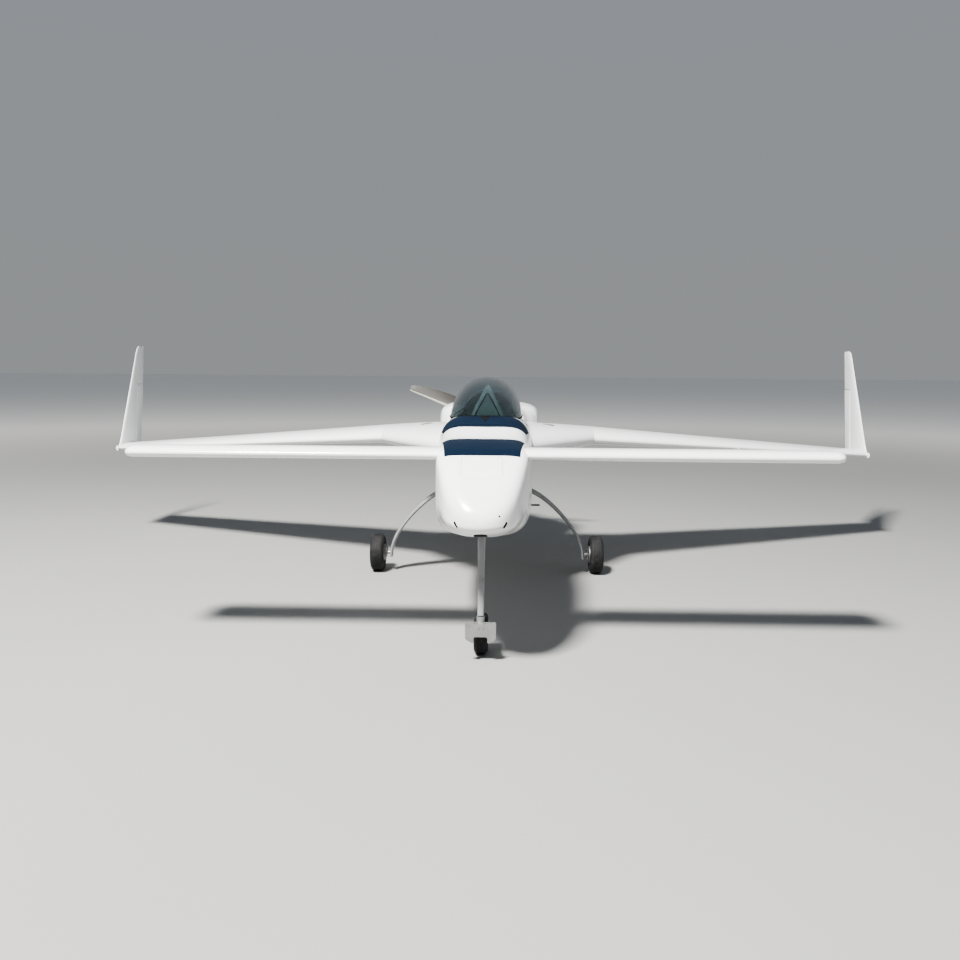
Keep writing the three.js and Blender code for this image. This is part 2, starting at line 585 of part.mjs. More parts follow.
// Engine cowl in two halves, the scoop below it, and the engine block inside.
const stackStart = point(205, 3230, 948);
const stackAim = point(0, 0.86, -0.51).normalize();
const stack = (length, radius) =>
  bothSides(rod(stackStart, stackStart.clone().addScaledVector(stackAim, length), radius, radius, 14));
const cowlShell = body(COWL, COWL_START, 3640, 0, 150, 28)
  .subtract(body(COWL, 2890, 3660, -SKIN, 300, 20));
const cowlSplit = 1046;
add("upper_cowl",
  largest(cowlShell.intersect(box(-500, 500, 2000, 4000, cowlSplit + GAP, 1400))), WHITE);
const scoopOuter = body(SCOOP, 2610, 2960);
const scoopInner = body(SCOOP, 2600, 2970, -14);
const lowerCheeks = body(TURTLE, CANOPY_END + CLEAR, COWL_START + 1, 0, 120)
  .subtract(body(TURTLE, CANOPY_END - 40, COWL_START + 2, -SKIN, 240))
  .intersect(besideBody(2640, COWL_START + 1, 500, CHEEK_SPLIT))
  .subtract(bothSides(strakeSolid(1)));
add("lower_cowl", largest(cowlShell
  .intersect(box(-500, 500, 2000, 4000, 500, cowlSplit))
  .add(lowerCheeks)
  .subtract(stack(400, 28))
  .subtract(scoopOuter.intersect(box(-300, 300, 2890, 2975, 500, 760)))), WHITE);
add("air_scoop", largest(scoopOuter.subtract(scoopInner)
  .subtract(body(BODY, 2300, 2900, GAP * 2))
  .subtract(body(COWL, COWL_START, 3200, GAP).subtract(box(-600, 600, 2800, 3300, 760, 1400)))
  .subtract(box(-500, 500, 2880, 3000, 500, 900))), WHITE);
const engineZ = PROP.z;
let engine = box(-105, 105, 2970, 3370, engineZ - 105, engineZ + 95)
  .add(rod(point(0, 3360, engineZ), point(0, PROP.station - 62, engineZ), 36))
  .add(box(-60, 60, FIREWALL.back + GAP, 2980, engineZ - 50, engineZ + 50));
for (const side of [-1, 1]) {
  for (const station of [3050, 3220]) {
    engine = engine.add(rod(point(side * 100, station + side * 12, engineZ),
      point(side * 350, station + side * 12, engineZ), 56));
  }
}
const elbow = rod(stackStart, point(stackStart.x, stackStart.y, PROP.z - 20), 22, 22, 14);
add("engine_block", engine.add(stack(300, 22)).add(bothSides(elbow)), ALLOY);

// Propeller and spinner: two twisted blades through one hub.
function bladeRings(direction) {
  const rows = [ // radius, chord, thickness, twist in degrees, leading edge sweep
    [60, 84, 44, 52, 0], [150, 112, 32, 44, 2], [300, 132, 22, 33, 8], [470, 128, 16, 25, 14],
    [640, 104, 11, 20, 16], [740, 86, 8, 17, 10], [PROP.radius, 70, 5, 16, 4],
  ];
  return rows.map(([r, chord, thick, twist, sweep]) => {
    const angle = THREE.MathUtils.degToRad(twist);
    return aerofoil(1, 0, 7).map(([u, v]) => {
      const across = (u - 0.42) * chord + sweep;
      const depth = v * thick;
      const y = across * Math.sin(angle) + depth * Math.cos(angle);
      const side = across * Math.cos(angle) - depth * Math.sin(angle);
      return point(direction * r, PROP.station + y, PROP.z - direction * side);
    });
  });
}
const hub = rod(point(0, PROP.station - 56, PROP.z), point(0, PROP.station + 50, PROP.z), 74, 74, 28);
const tilted = (solid) => {
  const mesh = solid.getMesh();
  const geometry = new THREE.BufferGeometry()
    .setAttribute("position", new THREE.Float32BufferAttribute(mesh.vertProperties, 3))
    .setIndex([...mesh.triVerts]);
  geometry.translate(0, 0, -PROP.z).rotateY(THREE.MathUtils.degToRad(PROP.tilt)).translate(0, 0, PROP.z);
  return solidOf(geometry);
};
const blades = tilted(hub.add(loft(bladeRings(1))).add(loft(bladeRings(-1))));
add("propeller", blades, BLADE);
const spinnerOutline = [[0, 168], [46, 150], [86, 104], [112, 46], [PROP.spinner, -52]];
const spinnerShape = new THREE.SplineCurve(spinnerOutline.map(([r, y]) => new THREE.Vector2(r, y)));
const spinnerPoints = [...spinnerShape.getPoints(7), new THREE.Vector2(0, -52)];
const spinnerWhole = solidOf(new THREE.LatheGeometry(spinnerPoints, 28))
  .translate([0, PROP.station, PROP.z]);
const bladePassage = tilted(box(-300, 300, PROP.station - 70, PROP.station + 56,
  PROP.z - 62, PROP.z + 62));
const spinnerHollow = rod(point(0, PROP.station - 60, PROP.z),
  point(0, PROP.station + 52, PROP.z), 75, 75, 28);
add("spinner", largest(spinnerWhole.subtract(bladePassage).subtract(spinnerHollow)), WHITE);

const TYRE_SIDES = 28;

// Wheels. Each tyre is a ring about the axle; each rim fills it and runs on its axle.
function tyre({ radius, width, rim }, x, station) {
  const half = width / 2;
  const wall = radius - rim;
  const profile = [
    [rim, -half * 0.62], [rim + wall * 0.35, -half * 0.98], [rim + wall * 0.65, -half * 0.98],
    [rim + wall * 0.9, -half * 0.74], [radius, -half * 0.34], [radius, half * 0.34],
    [rim + wall * 0.9, half * 0.74], [rim + wall * 0.65, half * 0.98],
    [rim + wall * 0.35, half * 0.98], [rim, half * 0.62], [rim, -half * 0.62],
  ].map(([r, a]) => new THREE.Vector2(r, a));
  const flat = 1 / Math.cos(Math.PI / TYRE_SIDES); // a flat of the polygon touches the ground
  return solidOf(new THREE.LatheGeometry(profile, TYRE_SIDES).scale(flat, 1, flat)
    .rotateZ(Math.PI / 2).rotateX(Math.PI / TYRE_SIDES).translate(x, station, radius));
}
// A spun wheel with its brake disc towards -X.
function rimSolid({ radius, width, rim }, x, station, bore) {
  const half = width / 2;
  const edge = rim - GAP;
  const profile = [
    [bore, -half * 1.04], [edge - 4, -half * 1.04], [edge - 4, -half * 0.88], [bore + 18, -half * 0.88],
    [bore + 18, -half * 0.2], [edge, -half * 0.2], [edge, half * 0.62], [edge - 9, half * 0.62],
    [bore + 16, half * 0.2], [bore, half * 0.6], [bore, -half * 1.04],
  ].map(([r, a]) => new THREE.Vector2(r, a));
  return solidOf(new THREE.LatheGeometry(profile, 20).rotateZ(-Math.PI / 2)
    .translate(x, station, radius));
}
const mainX = MAIN_WHEEL.x;
const axleZ = MAIN_WHEEL.radius;
addPair("main_tyre", tyre(MAIN_WHEEL, mainX, MAIN_WHEEL.station), TYRE);
addPair("main_rim", rimSolid(MAIN_WHEEL, mainX, MAIN_WHEEL.station, 12.6), ALLOY);
const bowPad = loft(bowRings(GAP));
const axleAt = MAIN_WHEEL.station;
const brakePlane = [mainX - 66, mainX - 58]; // the plate that carries the caliper, inboard of the disc
const axleSolid = rod(point(mainX - 102, axleAt, axleZ), point(mainX + 36, axleAt, axleZ), 12)
  .add(box(...brakePlane, axleAt - 34, axleAt + 34, axleZ - 34, axleZ + 40))
  .add(box(...brakePlane, axleAt + 20, axleAt + 78, axleZ - 24, axleZ + 30))
  .subtract(bowPad);
addPair("axle_and_brake", largest(axleSolid), STEEL);

// Nose leg, caster fork, guard plate and wheel.
const strutRows = [ // station, z, half width, half depth
  [CASTER.station, CASTER.top + 2, 17, 15], [-104, 380, 17, 16], [-66, 570, 19, 20], [-8, 860, 27, 24],
];
const strutSection = [[0, 1], [0.8, 0.8], [1, 0], [0.8, -0.8], [0, -1], [-0.8, -0.8], [-1, 0], [-0.8, 0.8]];
const strutRings = strutRows.map(([y, z, halfX, halfY]) =>
  strutSection.map(([u, v]) => point(u * halfX, y + v * halfY, z)));
const casterAxis = (low, high) => [point(0, CASTER.station, low), point(0, CASTER.station, high)];
const kingpin = rod(...casterAxis(CASTER.bottom + 4, CASTER.top + 12), 9);
add("nose_strut", loft(strutRings).add(kingpin), GREY);
const noseAxle = point(0, NOSE_WHEEL.station, NOSE_WHEEL.radius);
const armX = NOSE_WHEEL.width / 2 + 7;
const crownHalf = armX + 9;
const forkFront = CASTER.station - 26;
let fork = box(-20, 20, CASTER.station - 20, CASTER.station + 20, CASTER.bottom, CASTER.top - CLEAR)
  .add(box(-crownHalf, crownHalf, forkFront, forkFront + 20, CASTER.bottom, CASTER.bottom + 26));
for (const side of [-1, 1]) {
  const [x0, x1] = side > 0 ? [armX, crownHalf] : [-crownHalf, -armX];
  fork = fork.add(slab([
    point((x0 + x1) / 2, forkFront, CASTER.bottom + 26),
    point((x0 + x1) / 2, noseAxle.y + 12, noseAxle.z + 18),
    point((x0 + x1) / 2, noseAxle.y + 12, noseAxle.z - 14),
    point((x0 + x1) / 2, forkFront, CASTER.bottom),
  ], point((x1 - x0) / 2, 0, 0)));
}
const forkAxle = [-crownHalf, crownHalf].map((x) => point(x, noseAxle.y, noseAxle.z));
fork = fork.add(rod(...forkAxle, 8))
  .subtract(rod(...casterAxis(CASTER.bottom - 10, CASTER.top + 10), 9.8));
add("nose_fork", fork, ALLOY);
add("nose_tyre", tyre(NOSE_WHEEL, 0, NOSE_WHEEL.station), TYRE);
add("nose_rim", rimSolid(NOSE_WHEEL, 0, NOSE_WHEEL.station, 8.6), ALLOY);
const plate = {
  front: CASTER.station - 38, half: 80, low: 101, corner: 121, high: 215, slot: 36, slotTop: 134,
};
const plateShape = new THREE.Shape([
  [-plate.half, plate.high], [0, plate.high - 12], [plate.half, plate.high],
  [plate.half, plate.corner], [plate.slot, plate.low], [plate.slot, plate.slotTop],
  [-plate.slot, plate.slotTop], [-plate.slot, plate.low], [-plate.half, plate.corner],
].map(([x, z]) => new THREE.Vector2(x, z)));
const plateSolid = solidOf(new THREE.ExtrudeGeometry(plateShape, { depth: 4, bevelEnabled: false })
  .rotateX(Math.PI / 2).translate(0, plate.front + 4, 0))
  .add(box(-16, 16, plate.front + 2, forkFront - GAP, CASTER.bottom + 2, CASTER.bottom + 24));
add("guard_plate", plateSolid, ALLOY);

// Boarding step: a short level bar out of the port side.
const STEP = { station: 1450, z: 588, reach: 368, radius: 6 };
const stepBar = rod(point(200, STEP.station, STEP.z), point(STEP.reach, STEP.station, STEP.z),
  STEP.radius, STEP.radius, 12);
add("boarding_step", largest(stepBar.subtract(body(BODY, 1300, 1600, GAP))), TRIM);

// Cockpit: panel, seats, roll structure, hand controls and battery.
const cabinHalf = 258;
const panelSolid = body(BODY, 660, 676, -WALL - 4).intersect(box(-400, 400, 640, 700, 850, 1120))
  .subtract(rod(point(-130, 640, 850), point(-130, 700, 850), 88))
  .subtract(rod(point(130, 640, 850), point(130, 700, 850), 88));
add("instrument_panel", largest(panelSolid), TRIM);
const seatPlank = (y0, z0, y1, z1, half, thick) => {
  const along = point(0, y1 - y0, z1 - z0).normalize();
  const normal = point(0, -along.z, along.y).multiplyScalar(thick / 2);
  const corners = [point(-half, y0, z0), point(half, y0, z0), point(half, y1, z1), point(-half, y1, z1)];
  return slab(corners, normal);
};
add("front_seat_back", seatPlank(1250, 640, 1680, 1085, cabinHalf - 70, 18), GREY);
add("front_back_cushion", seatPlank(1250, 708, 1600, 1070, 170, 48), CLOTH);
add("front_seat_cushion", box(-180, 180, 830, 1160, 609, 662), CLOTH);
const rearPan = box(-cabinHalf + 26, cabinHalf - 26, 1850, 2226, 744, 760);
add("rear_seat_shell", seatPlank(2212, 752, 2560, 1110, cabinHalf - 26, 18).add(rearPan), GREY);
add("rear_back_cushion", seatPlank(2232, 872, 2500, 1120, 180, 48), CLOTH);
add("rear_seat_cushion", box(-190, 190, 1860, 2140, 761, 820), CLOTH);
// An upright plate of the given outline (x, z), from one station to another.
const upright = (corners, front, back) => slab(
  corners.map(([x, z]) => point(x, (front + back) / 2, z)), point(0, (front - back) / 2, 0));
const ROLL_FRONT = 1690;
const rollOutline = [[-190, 1040], [-14, 1396], [-6, 1404], [6, 1404], [14, 1396], [190, 1040]];
add("roll_frame", upright(rollOutline, ROLL_FRONT, ROLL_FRONT + 34), GREY);
const padOutline = [[-100, 1176], [-12, 1334], [-4, 1344], [4, 1344], [12, 1334], [100, 1176]];
add("front_headrest", upright(padOutline, ROLL_FRONT - 34, ROLL_FRONT - GAP), CLOTH);

// Hand controls on the two armrests.
const HAND = { x: 238, stick: 1190, lever: 1090 };
const stickFoot = point(-HAND.x, HAND.stick, ARMREST_TOP + GAP);
add("side_stick", rod(stickFoot, point(-HAND.x, HAND.stick, ARMREST_TOP + 10), 22, 18, 14)
  .add(rod(point(-HAND.x, HAND.stick, ARMREST_TOP + 8),
    point(-HAND.x, HAND.stick - 14, ARMREST_TOP + 50), 7, 7, 10))
  .add(rod(point(-HAND.x, HAND.stick - 12, ARMREST_TOP + 44),
    point(-HAND.x, HAND.stick - 32, ARMREST_TOP + 140), 13, 16, 14)), TRIM);
add("throttle_lever", box(HAND.x - 17, HAND.x + 17, HAND.lever - 60, HAND.lever + 60,
  ARMREST_TOP + GAP, ARMREST_TOP + 16)
  .add(rod(point(HAND.x, HAND.lever, ARMREST_TOP + 10),
    point(HAND.x, HAND.lever + 34, ARMREST_TOP + 86), 4, 4, 8))
  .add(rod(point(HAND.x - 15, HAND.lever + 34, ARMREST_TOP + 88),
    point(HAND.x + 15, HAND.lever + 34, ARMREST_TOP + 88), 12, 12, 12)), TRIM);
add("battery", box(-104, 104, -250, -118, 723, 911), TRIM);

export default aircraft;
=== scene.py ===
# Two-seat canard aeroplane with a pusher propeller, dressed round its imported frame.
import math
from contextlib import contextmanager
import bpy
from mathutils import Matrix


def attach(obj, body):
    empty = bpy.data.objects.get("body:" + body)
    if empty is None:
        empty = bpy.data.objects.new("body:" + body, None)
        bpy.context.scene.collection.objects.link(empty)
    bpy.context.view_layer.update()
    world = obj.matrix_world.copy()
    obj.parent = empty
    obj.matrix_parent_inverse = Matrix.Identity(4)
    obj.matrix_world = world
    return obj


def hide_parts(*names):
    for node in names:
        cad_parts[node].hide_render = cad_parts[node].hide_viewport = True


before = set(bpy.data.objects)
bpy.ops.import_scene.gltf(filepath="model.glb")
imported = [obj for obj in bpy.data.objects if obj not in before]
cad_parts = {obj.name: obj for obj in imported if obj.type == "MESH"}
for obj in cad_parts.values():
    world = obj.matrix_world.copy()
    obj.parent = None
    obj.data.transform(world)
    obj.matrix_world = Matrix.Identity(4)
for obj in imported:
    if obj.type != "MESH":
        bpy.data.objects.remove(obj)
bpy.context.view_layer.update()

from types import SimpleNamespace

import bmesh
import bpy
import numpy as np
from mathutils import Matrix, Vector

# The camera stands where the photographer stood: 4.8 m ahead of the foreplane, at eye height,
# a hand's breadth off the aeroplane's centre line, looking a little down.
EYE = (0.090, -6.504, 1.505)
LENS_MM = 34.2
YAW_DEG, PITCH_DEG, ROLL_DEG = 1.23, -6.88, 0.45


def placed(name, data):
    """A new object of the scene."""
    made = bpy.data.objects.new(name, data)
    bpy.context.scene.collection.objects.link(made)
    return made


camera = placed("camera", bpy.data.cameras.new("camera"))
camera.data.lens = LENS_MM
camera.data.sensor_width = 36
camera.data.clip_end = 500
camera.matrix_world = (
    Matrix.Translation(EYE)
    @ Matrix.Rotation(math.radians(YAW_DEG), 4, "Z")
    @ Matrix.Rotation(math.radians(90 + PITCH_DEG), 4, "X")
    @ Matrix.Rotation(math.radians(ROLL_DEG), 4, "Z")
)
bpy.context.scene.camera = camera

# A plain pale floor that lightens into the distance, an even grey sky, and two lights: a strong
# one high on the left behind the camera, where the sun stood, and a weak wide one on the right.
FLOOR_HALF = 200
FLOOR_FAR = (40, 420)  # squares of the distances between which the floor lightens


class Wire:
    """One socket's value in a finish. Sums and products of wires become Math nodes."""

    def __init__(self, finish, socket):
        self.finish, self.socket = finish, socket

    def _maths(self, operation, *values):
        return self.finish.node("ShaderNodeMath", {"operation": operation}, *values)

    def __add__(self, other): return self._maths("ADD", self, other)
    def __radd__(self, other): return self._maths("ADD", other, self)
    def __sub__(self, other): return self._maths("SUBTRACT", self, other)
    def __mul__(self, other): return self._maths("MULTIPLY", self, other)
    def __rmul__(self, other): return self._maths("MULTIPLY", other, self)
    def __lt__(self, other): return self._maths("LESS_THAN", self, other)
    def __gt__(self, other): return self._maths("GREATER_THAN", self, other)
    def __abs__(self): return self._maths("ABSOLUTE", self)


class Finish:
    """A material under construction: paint, rubber, metal or cloth on one Principled shader."""

    def __init__(self, name, **constants):
        self.material = bpy.data.materials.new(name)
        self.material.use_nodes = True
        self.tree = self.material.node_tree
        self.shader = self.tree.nodes["Principled BSDF"]
        for socket, value in constants.items():
            self.shader.inputs[socket.replace("_", " ").title().replace("Ior", "IOR")].default_value = value
        place = self.tree.nodes.new("ShaderNodeTexCoord")
        self.place = Wire(self, place.outputs["Object"])
        split = self.node("ShaderNodeSeparateXYZ", {}, self.place, output=None)
        self.x, self.y, self.z = (Wire(self, out) for out in split.outputs)

    def node(self, kind, settings, *values, output=0, **named):
        """Adds one node: its settings first, then the values or wires of its sockets."""
        made = self.tree.nodes.new(kind)
        for setting, value in settings.items():
            if setting == "stops":
                ramp = made.color_ramp.elements
                while len(ramp) < len(value):
                    ramp.new(0.5)
                for stop, (position, colour) in zip(ramp, value):
                    stop.position, stop.color = position, (*colour, 1)
            else:
                setattr(made, setting, value)
        pairs = [*enumerate(values), *((key.replace("_", " "), value) for key, value in named.items())]
        for key, value in pairs:
            if isinstance(value, Wire):
                self.tree.links.new(value.socket, made.inputs[key])
            elif value is not None:
                made.inputs[key].default_value = value
        return made if output is None else Wire(self, made.outputs[output])

    def noise(self, scale, detail=2.0, roughness=0.5, vector=None):
        return self.node("ShaderNodeTexNoise", {}, Vector=vector or self.place, Scale=scale,
                         Detail=detail, Roughness=roughness)

    def blend(self, amount, low, high):
        """A colour between two others."""
        mix = self.node("ShaderNodeMix", {"data_type": "RGBA"}, output=None)
        for key, value in ((0, amount), (6, low), (7, high)):
            if isinstance(value, Wire):
                self.tree.links.new(value.socket, mix.inputs[key])
            else:
                mix.inputs[key].default_value = value if key == 0 else (*value, 1)
        return Wire(self, mix.outputs[2])

    def ramp(self, amount, low, high):
        """0 below low, 1 above high, smooth between."""
        return self.node("ShaderNodeMapRange", {"interpolation_type": "SMOOTHSTEP"}, amount, low, high)

    def wear(self, **wires):
        """Joins wires to the shader's own sockets by name."""
        for name, wire in wires.items():
            self.tree.links.new(wire.socket, self.shader.inputs[name.replace("_", " ").title()])
        return self

    def over(self, mask, colour, roughness, specular):
        """Lays a duller second paint over the first where the mask is 1."""
        second = self.node("ShaderNodeBsdfPrincipled", {}, output=None, Base_Color=colour)
        second.inputs["Roughness"].default_value = roughness
        second.inputs["Specular IOR Level"].default_value = specular
        mix = self.node("ShaderNodeMixShader", {}, mask, output=None)
        self.tree.links.new(self.shader.outputs[0], mix.inputs[1])
        self.tree.links.new(second.outputs[0], mix.inputs[2])
        self.tree.links.new(mix.outputs[0], self.tree.nodes["Material Output"].inputs["Surface"])

    def bump(self, height, distance, strength=1.0):
        surface = self.node("ShaderNodeBump", {}, Strength=strength, Distance=distance, Height=height)
        return self.wear(normal=surface)


def clouded(name, scale, detail, low, high, bump=None, **constants):
    """A finish of one clouded colour, its bump given as noise settings, distance and strength."""
    finish = Finish(name, **constants)
    finish.wear(base_color=finish.blend(finish.noise(scale, detail), low, high))
    if bump:
        finish.bump(finish.noise(*bump[:-2]), *bump[-2:])
    return finish


floor_finish = Finish("pale_floor", roughness=0.8, specular_ior_level=0.1)
floor_tone = floor_finish.noise(0.35, 3) * 0.5 + floor_finish.noise(160, 1) * 0.5
far = floor_finish.x * floor_finish.x + floor_finish.y * floor_finish.y
near_tone = floor_finish.blend(floor_tone, (0.27, 0.268, 0.264), (0.33, 0.328, 0.323))
floor_finish.wear(base_color=floor_finish.blend(floor_finish.ramp(far, *FLOOR_FAR), near_tone,
                                                (0.97, 0.93, 0.88)))

floor_mesh = bpy.data.meshes.new("floor")
corners = (-1, -1), (1, -1), (1, 1), (-1, 1)
floor_mesh.from_pydata([(x * FLOOR_HALF, y * FLOOR_HALF, 0) for x, y in corners], [], [(0, 1, 2, 3)])
floor_mesh.materials.append(floor_finish.material)
floor = placed("floor", floor_mesh)


def softbox(name, place, aim, size, watts, colour=(1, 1, 1)):
    light = bpy.data.lights.new(name, "AREA")
    light.shape, light.size, light.size_y = "RECTANGLE", *size
    light.energy, light.color = watts, colour
    lamp = placed(name, light)
    lamp.location = place
    lamp.rotation_euler = (Vector(aim) - Vector(place)).to_track_quat("-Z", "Y").to_euler()


softbox("key_left", (-4.2, -8.2, 13.0), (0, -0.2, 0.8), (2.0, 2.0), 8200, (1, 0.985, 0.955))
softbox("fill_right", (10.0, -5.0, 5.0), (0, 0, 0.8), (6, 5), 30, (0.90, 0.95, 1))

HORIZON, ZENITH = (0.27, 0.28, 0.29, 1), (0.25, 0.28, 0.315, 1)
world = bpy.data.worlds.new("studio")
world.use_nodes = True
sky = world.node_tree
direction = sky.nodes.new("ShaderNodeSeparateXYZ")
height = sky.nodes.new("ShaderNodeMapRange")
height.interpolation_type = "SMOOTHSTEP"
height.inputs["From Min"].default_value, height.inputs["From Max"].default_value = 0.05, 0.75
tone = sky.nodes.new("ShaderNodeMix")
tone.data_type = "RGBA"
tone.inputs[6].default_value, tone.inputs[7].default_value = HORIZON, ZENITH
sky.links.new(sky.nodes.new("ShaderNodeTexCoord").outputs["Generated"], direction.inputs[0])
sky.links.new(direction.outputs["Z"], height.inputs["Value"])
sky.links.new(height.outputs[0], tone.inputs[0])
sky.links.new(tone.outputs[2], sky.nodes["Background"].inputs["Color"])
bpy.context.scene.world = world
bpy.context.scene.view_settings.look = "AgX - Medium High Contrast"

# Nose moulding: a thick hand-laid glass shell, filled, sanded and sprayed white. It carries the
# canard's seat, a slot for the nose leg, a small hatch on top, two oval air slots at its chin and
# a small round hole beside its tip.
AFT_SHIFT = 1.755  # metres from the canard's leading edge, station 0, aft to the frame's origin
NOSE_STATION, DECK_START, TUB_END = -420, 360, 2891
NOSE_SKIN, THIN_SKIN = 25, 9
GAP = 0.4  # between neighbouring pieces
HULL_POINTS, FINE = 104, 128  # points round a section

# Columns: station, half width, lowest z, z of the widest place, highest z, power of the lower
# corners, power of the upper corners. All tables of this kind are in millimetres.
BODY = [
    (-420, 10, 749, 757, 765, 2, 2),
    (-417, 38, 737, 757, 783, 2, 2.2),
    (-408, 72, 725, 757, 805, 2, 2.8),
    (-390, 106, 713, 760, 834, 2.1, 3.3),
    (-355, 143, 701, 768, 874, 2.3, 3.8),
    (-295, 180, 684, 795, 930, 2.5, 4.3),
    (-200, 210, 664, 840, 997, 2.7, 5),
    (-100, 230, 647, 880, 1048, 2.9, 6),
    (-50, 238, 640, 885, 1071, 3, 7),
    (0, 245, 632, 870, 1094, 3.2, 8),
    (110, 250, 618, 850, 1112, 3.9, 8),
    (240, 257, 606, 845, 1124, 4.4, 7),
    (360, 264, 597, 845, 1134, 5, 5.6),
    (600, 278, 580, 855, 1186, 5.8, 4.4),
    (760, 287, 572, 865, 1228, 6.6, 4),
    (1000, 295, 567, 870, 1232, 7.6, 3.8),
    (1500, 299, 563, 870, 1234, 8, 3.5),
    (2000, 296, 577, 870, 1236, 8, 3.5),
    (2400, 288, 618, 880, 1240, 7, 3.5),
    (2900, 276, 700, 900, 1245, 5, 3.5),
]


def metres(points):
    """Millimetres by station to metres in the frame's own place."""
    return np.asarray(points, float) / 1000 - (0, AFT_SHIFT, 0)


def hull_row(table, station):
    """A table's row at any station, on a smooth curve through its rows."""
    rows = np.array(table, float)
    i = int(np.clip(np.searchsorted(rows[:, 0], station, "right") - 1, 0, len(rows) - 2))
    a, b = rows[i], rows[i + 1]
    before, after = rows[max(i - 1, 0)], rows[min(i + 2, len(rows) - 1)]
    width, t = b[0] - a[0], (station - a[0]) / (b[0] - a[0])
    leaving = (b - before) / (b[0] - before[0]) * width
    arriving = (after - a) / (after[0] - a[0]) * width
    rise = b - a
    row = (a + leaving * t + (3 * rise - 2 * leaving - arriving) * t**2
           + (leaving + arriving - 2 * rise) * t**3)
    row[0] = station
    return row


def hull_ring(row, grow=0, points=HULL_POINTS):
    """One section of a body from its top round, its points closest where it curves most."""
    station, half, low, wide, high, low_power, high_power = row
    turn = np.linspace(0, 2 * np.pi, 1441)
    c, s = np.sin(turn), np.cos(turn)
    power = 2 / np.where(s > 0, high_power, low_power)
    reach = np.where(s > 0, high - wide, wide - low)
    x = np.sign(c) * np.abs(c) ** power * max(half + grow, 1)
    z = np.sign(s) * np.abs(s) ** power * np.maximum(reach + grow, 1)
    dx, dz = np.diff(x), np.diff(z)
    length = np.hypot(dx, dz)
    heading = np.unwrap(np.arctan2(dz, dx))
    bend = np.abs(np.diff(heading, append=heading[:1] - 2 * np.pi))
    weight = length / length.sum() + np.minimum(bend, 1) / (2 * np.pi)
    along = np.concatenate([[0], np.cumsum(weight)])
    marks = np.linspace(0, along[-1], points, endpoint=False)
    return np.column_stack([np.interp(marks, along, x), np.full(points, station),
                            wide + np.interp(marks, along, z)])


def hull(table, start, end, grow=0, step=16, points=HULL_POINTS):
    """A closed body between two stations of a table."""
    inside = [row[0] for row in table if start + 1 < row[0] < end - 1]
    stations = [start]
    for a, b in zip([start, *inside], [*inside, end]):
        parts = max(1, round((b - a) / step))
        stations += [a + (b - a) * k / parts for k in range(1, parts + 1)]
    return skin([hull_ring(hull_row(table, s), grow, points) for s in stations])


def piece_of(points, faces):
    """A piece from points given by station in millimetres."""
    mesh = bpy.data.meshes.new("tool")
    mesh.from_pydata([tuple(p) for p in metres(points)], [], faces)
    return outward(placed("tool", mesh))


@contextmanager
def edited(piece):
    """A piece's mesh, open for changes and written back after them."""
    bm = bmesh.new()
    bm.from_mesh(piece.data)
    yield bm
    bm.to_mesh(piece.data)
    bm.free()


def merge_doubles(bm):
    bmesh.ops.remove_doubles(bm, verts=bm.verts, dist=2e-6)


def outward(piece):
    """Merges doubles and points every face outwards."""
    with edited(piece) as bm:
        merge_doubles(bm)
        bmesh.ops.recalc_face_normals(bm, faces=bm.faces)
    return piece


def skin(rings):
    """A closed skin through rings of equal count, given by station in millimetres."""
    count = len(rings[0])
    i = np.arange(count)
    j = (i + 1) % count
    bands = [np.column_stack([r * count + i, r * count + j, (r + 1) * count + j, (r + 1) * count + i])
             for r in range(len(rings) - 1)]
    faces = [tuple(map(int, f)) for f in np.concatenate(bands)]
    last = (len(rings) - 1) * count
    faces += [tuple(range(count))[::-1], tuple(range(last, last + count))]
    return piece_of(np.concatenate(rings), faces)


def block(x0, x1, s0, s1, z0, z1):
    return plate([(x0, z0), (x1, z0), (x1, z1), (x0, z1)], s0, s1)


def plate(outline, *stations):
    """A plate square to the body's length from its (x, z) outline."""
    return skin([[(x, s, z) for x, z in outline] for s in stations])


def slab(start, end, low=400, high=1500):
    """A block that reaches past both sides of the body and, unless told, past its bottom and top."""
    return block(-500, 500, start, end, low, high)


def applied(piece):
    """Makes what a piece's modifiers show its own mesh."""
    bpy.context.view_layer.update()
    made = bpy.data.meshes.new_from_object(piece.evaluated_get(bpy.context.evaluated_depsgraph_get()))
    piece.modifiers.clear()
    piece.data = made
    return piece


def cut(piece, *tools, how="DIFFERENCE"):
    """Cuts the tools out of a piece, keeps what it shares with them or adds them, and drops them."""
    for tool in tools:
        step = piece.modifiers.new("cut", "BOOLEAN")
        step.operation, step.object, step.solver = how, tool, "MANIFOLD"
    applied(piece)
    for tool in tools:
        bpy.data.objects.remove(tool)
    return piece


def keep(piece, *tools):
    return cut(piece, *tools, how="INTERSECT")


def weld(piece, *tools):
    return cut(piece, *tools, how="UNION")


def main_part(piece):
    """Keeps the part of a mesh that has the most points."""
    with edited(piece) as bm:
        left, islands = set(bm.verts), []
        while left:
            edge, island = [next(iter(left))], set()
            while edge:
                v = edge.pop()
                if v not in island:
                    island.add(v)
                    edge += [e.other_vert(v) for e in v.link_edges]
            left -= island
            islands.append(island)
        islands.sort(key=len, reverse=True)
        bmesh.ops.delete(bm, geom=[v for island in islands[1:] for v in island], context="VERTS")
    return piece


def smooth(piece, crease_deg):
    """Smooth shading with sharp edges where faces meet at the crease angle or more."""
    with edited(piece) as bm:
        merge_doubles(bm)
        for face in bm.faces:
            face.smooth = True
        for edge in bm.edges:
            edge.smooth = len(edge.link_faces) == 2 and edge.calc_face_angle(0) < math.radians(crease_deg)


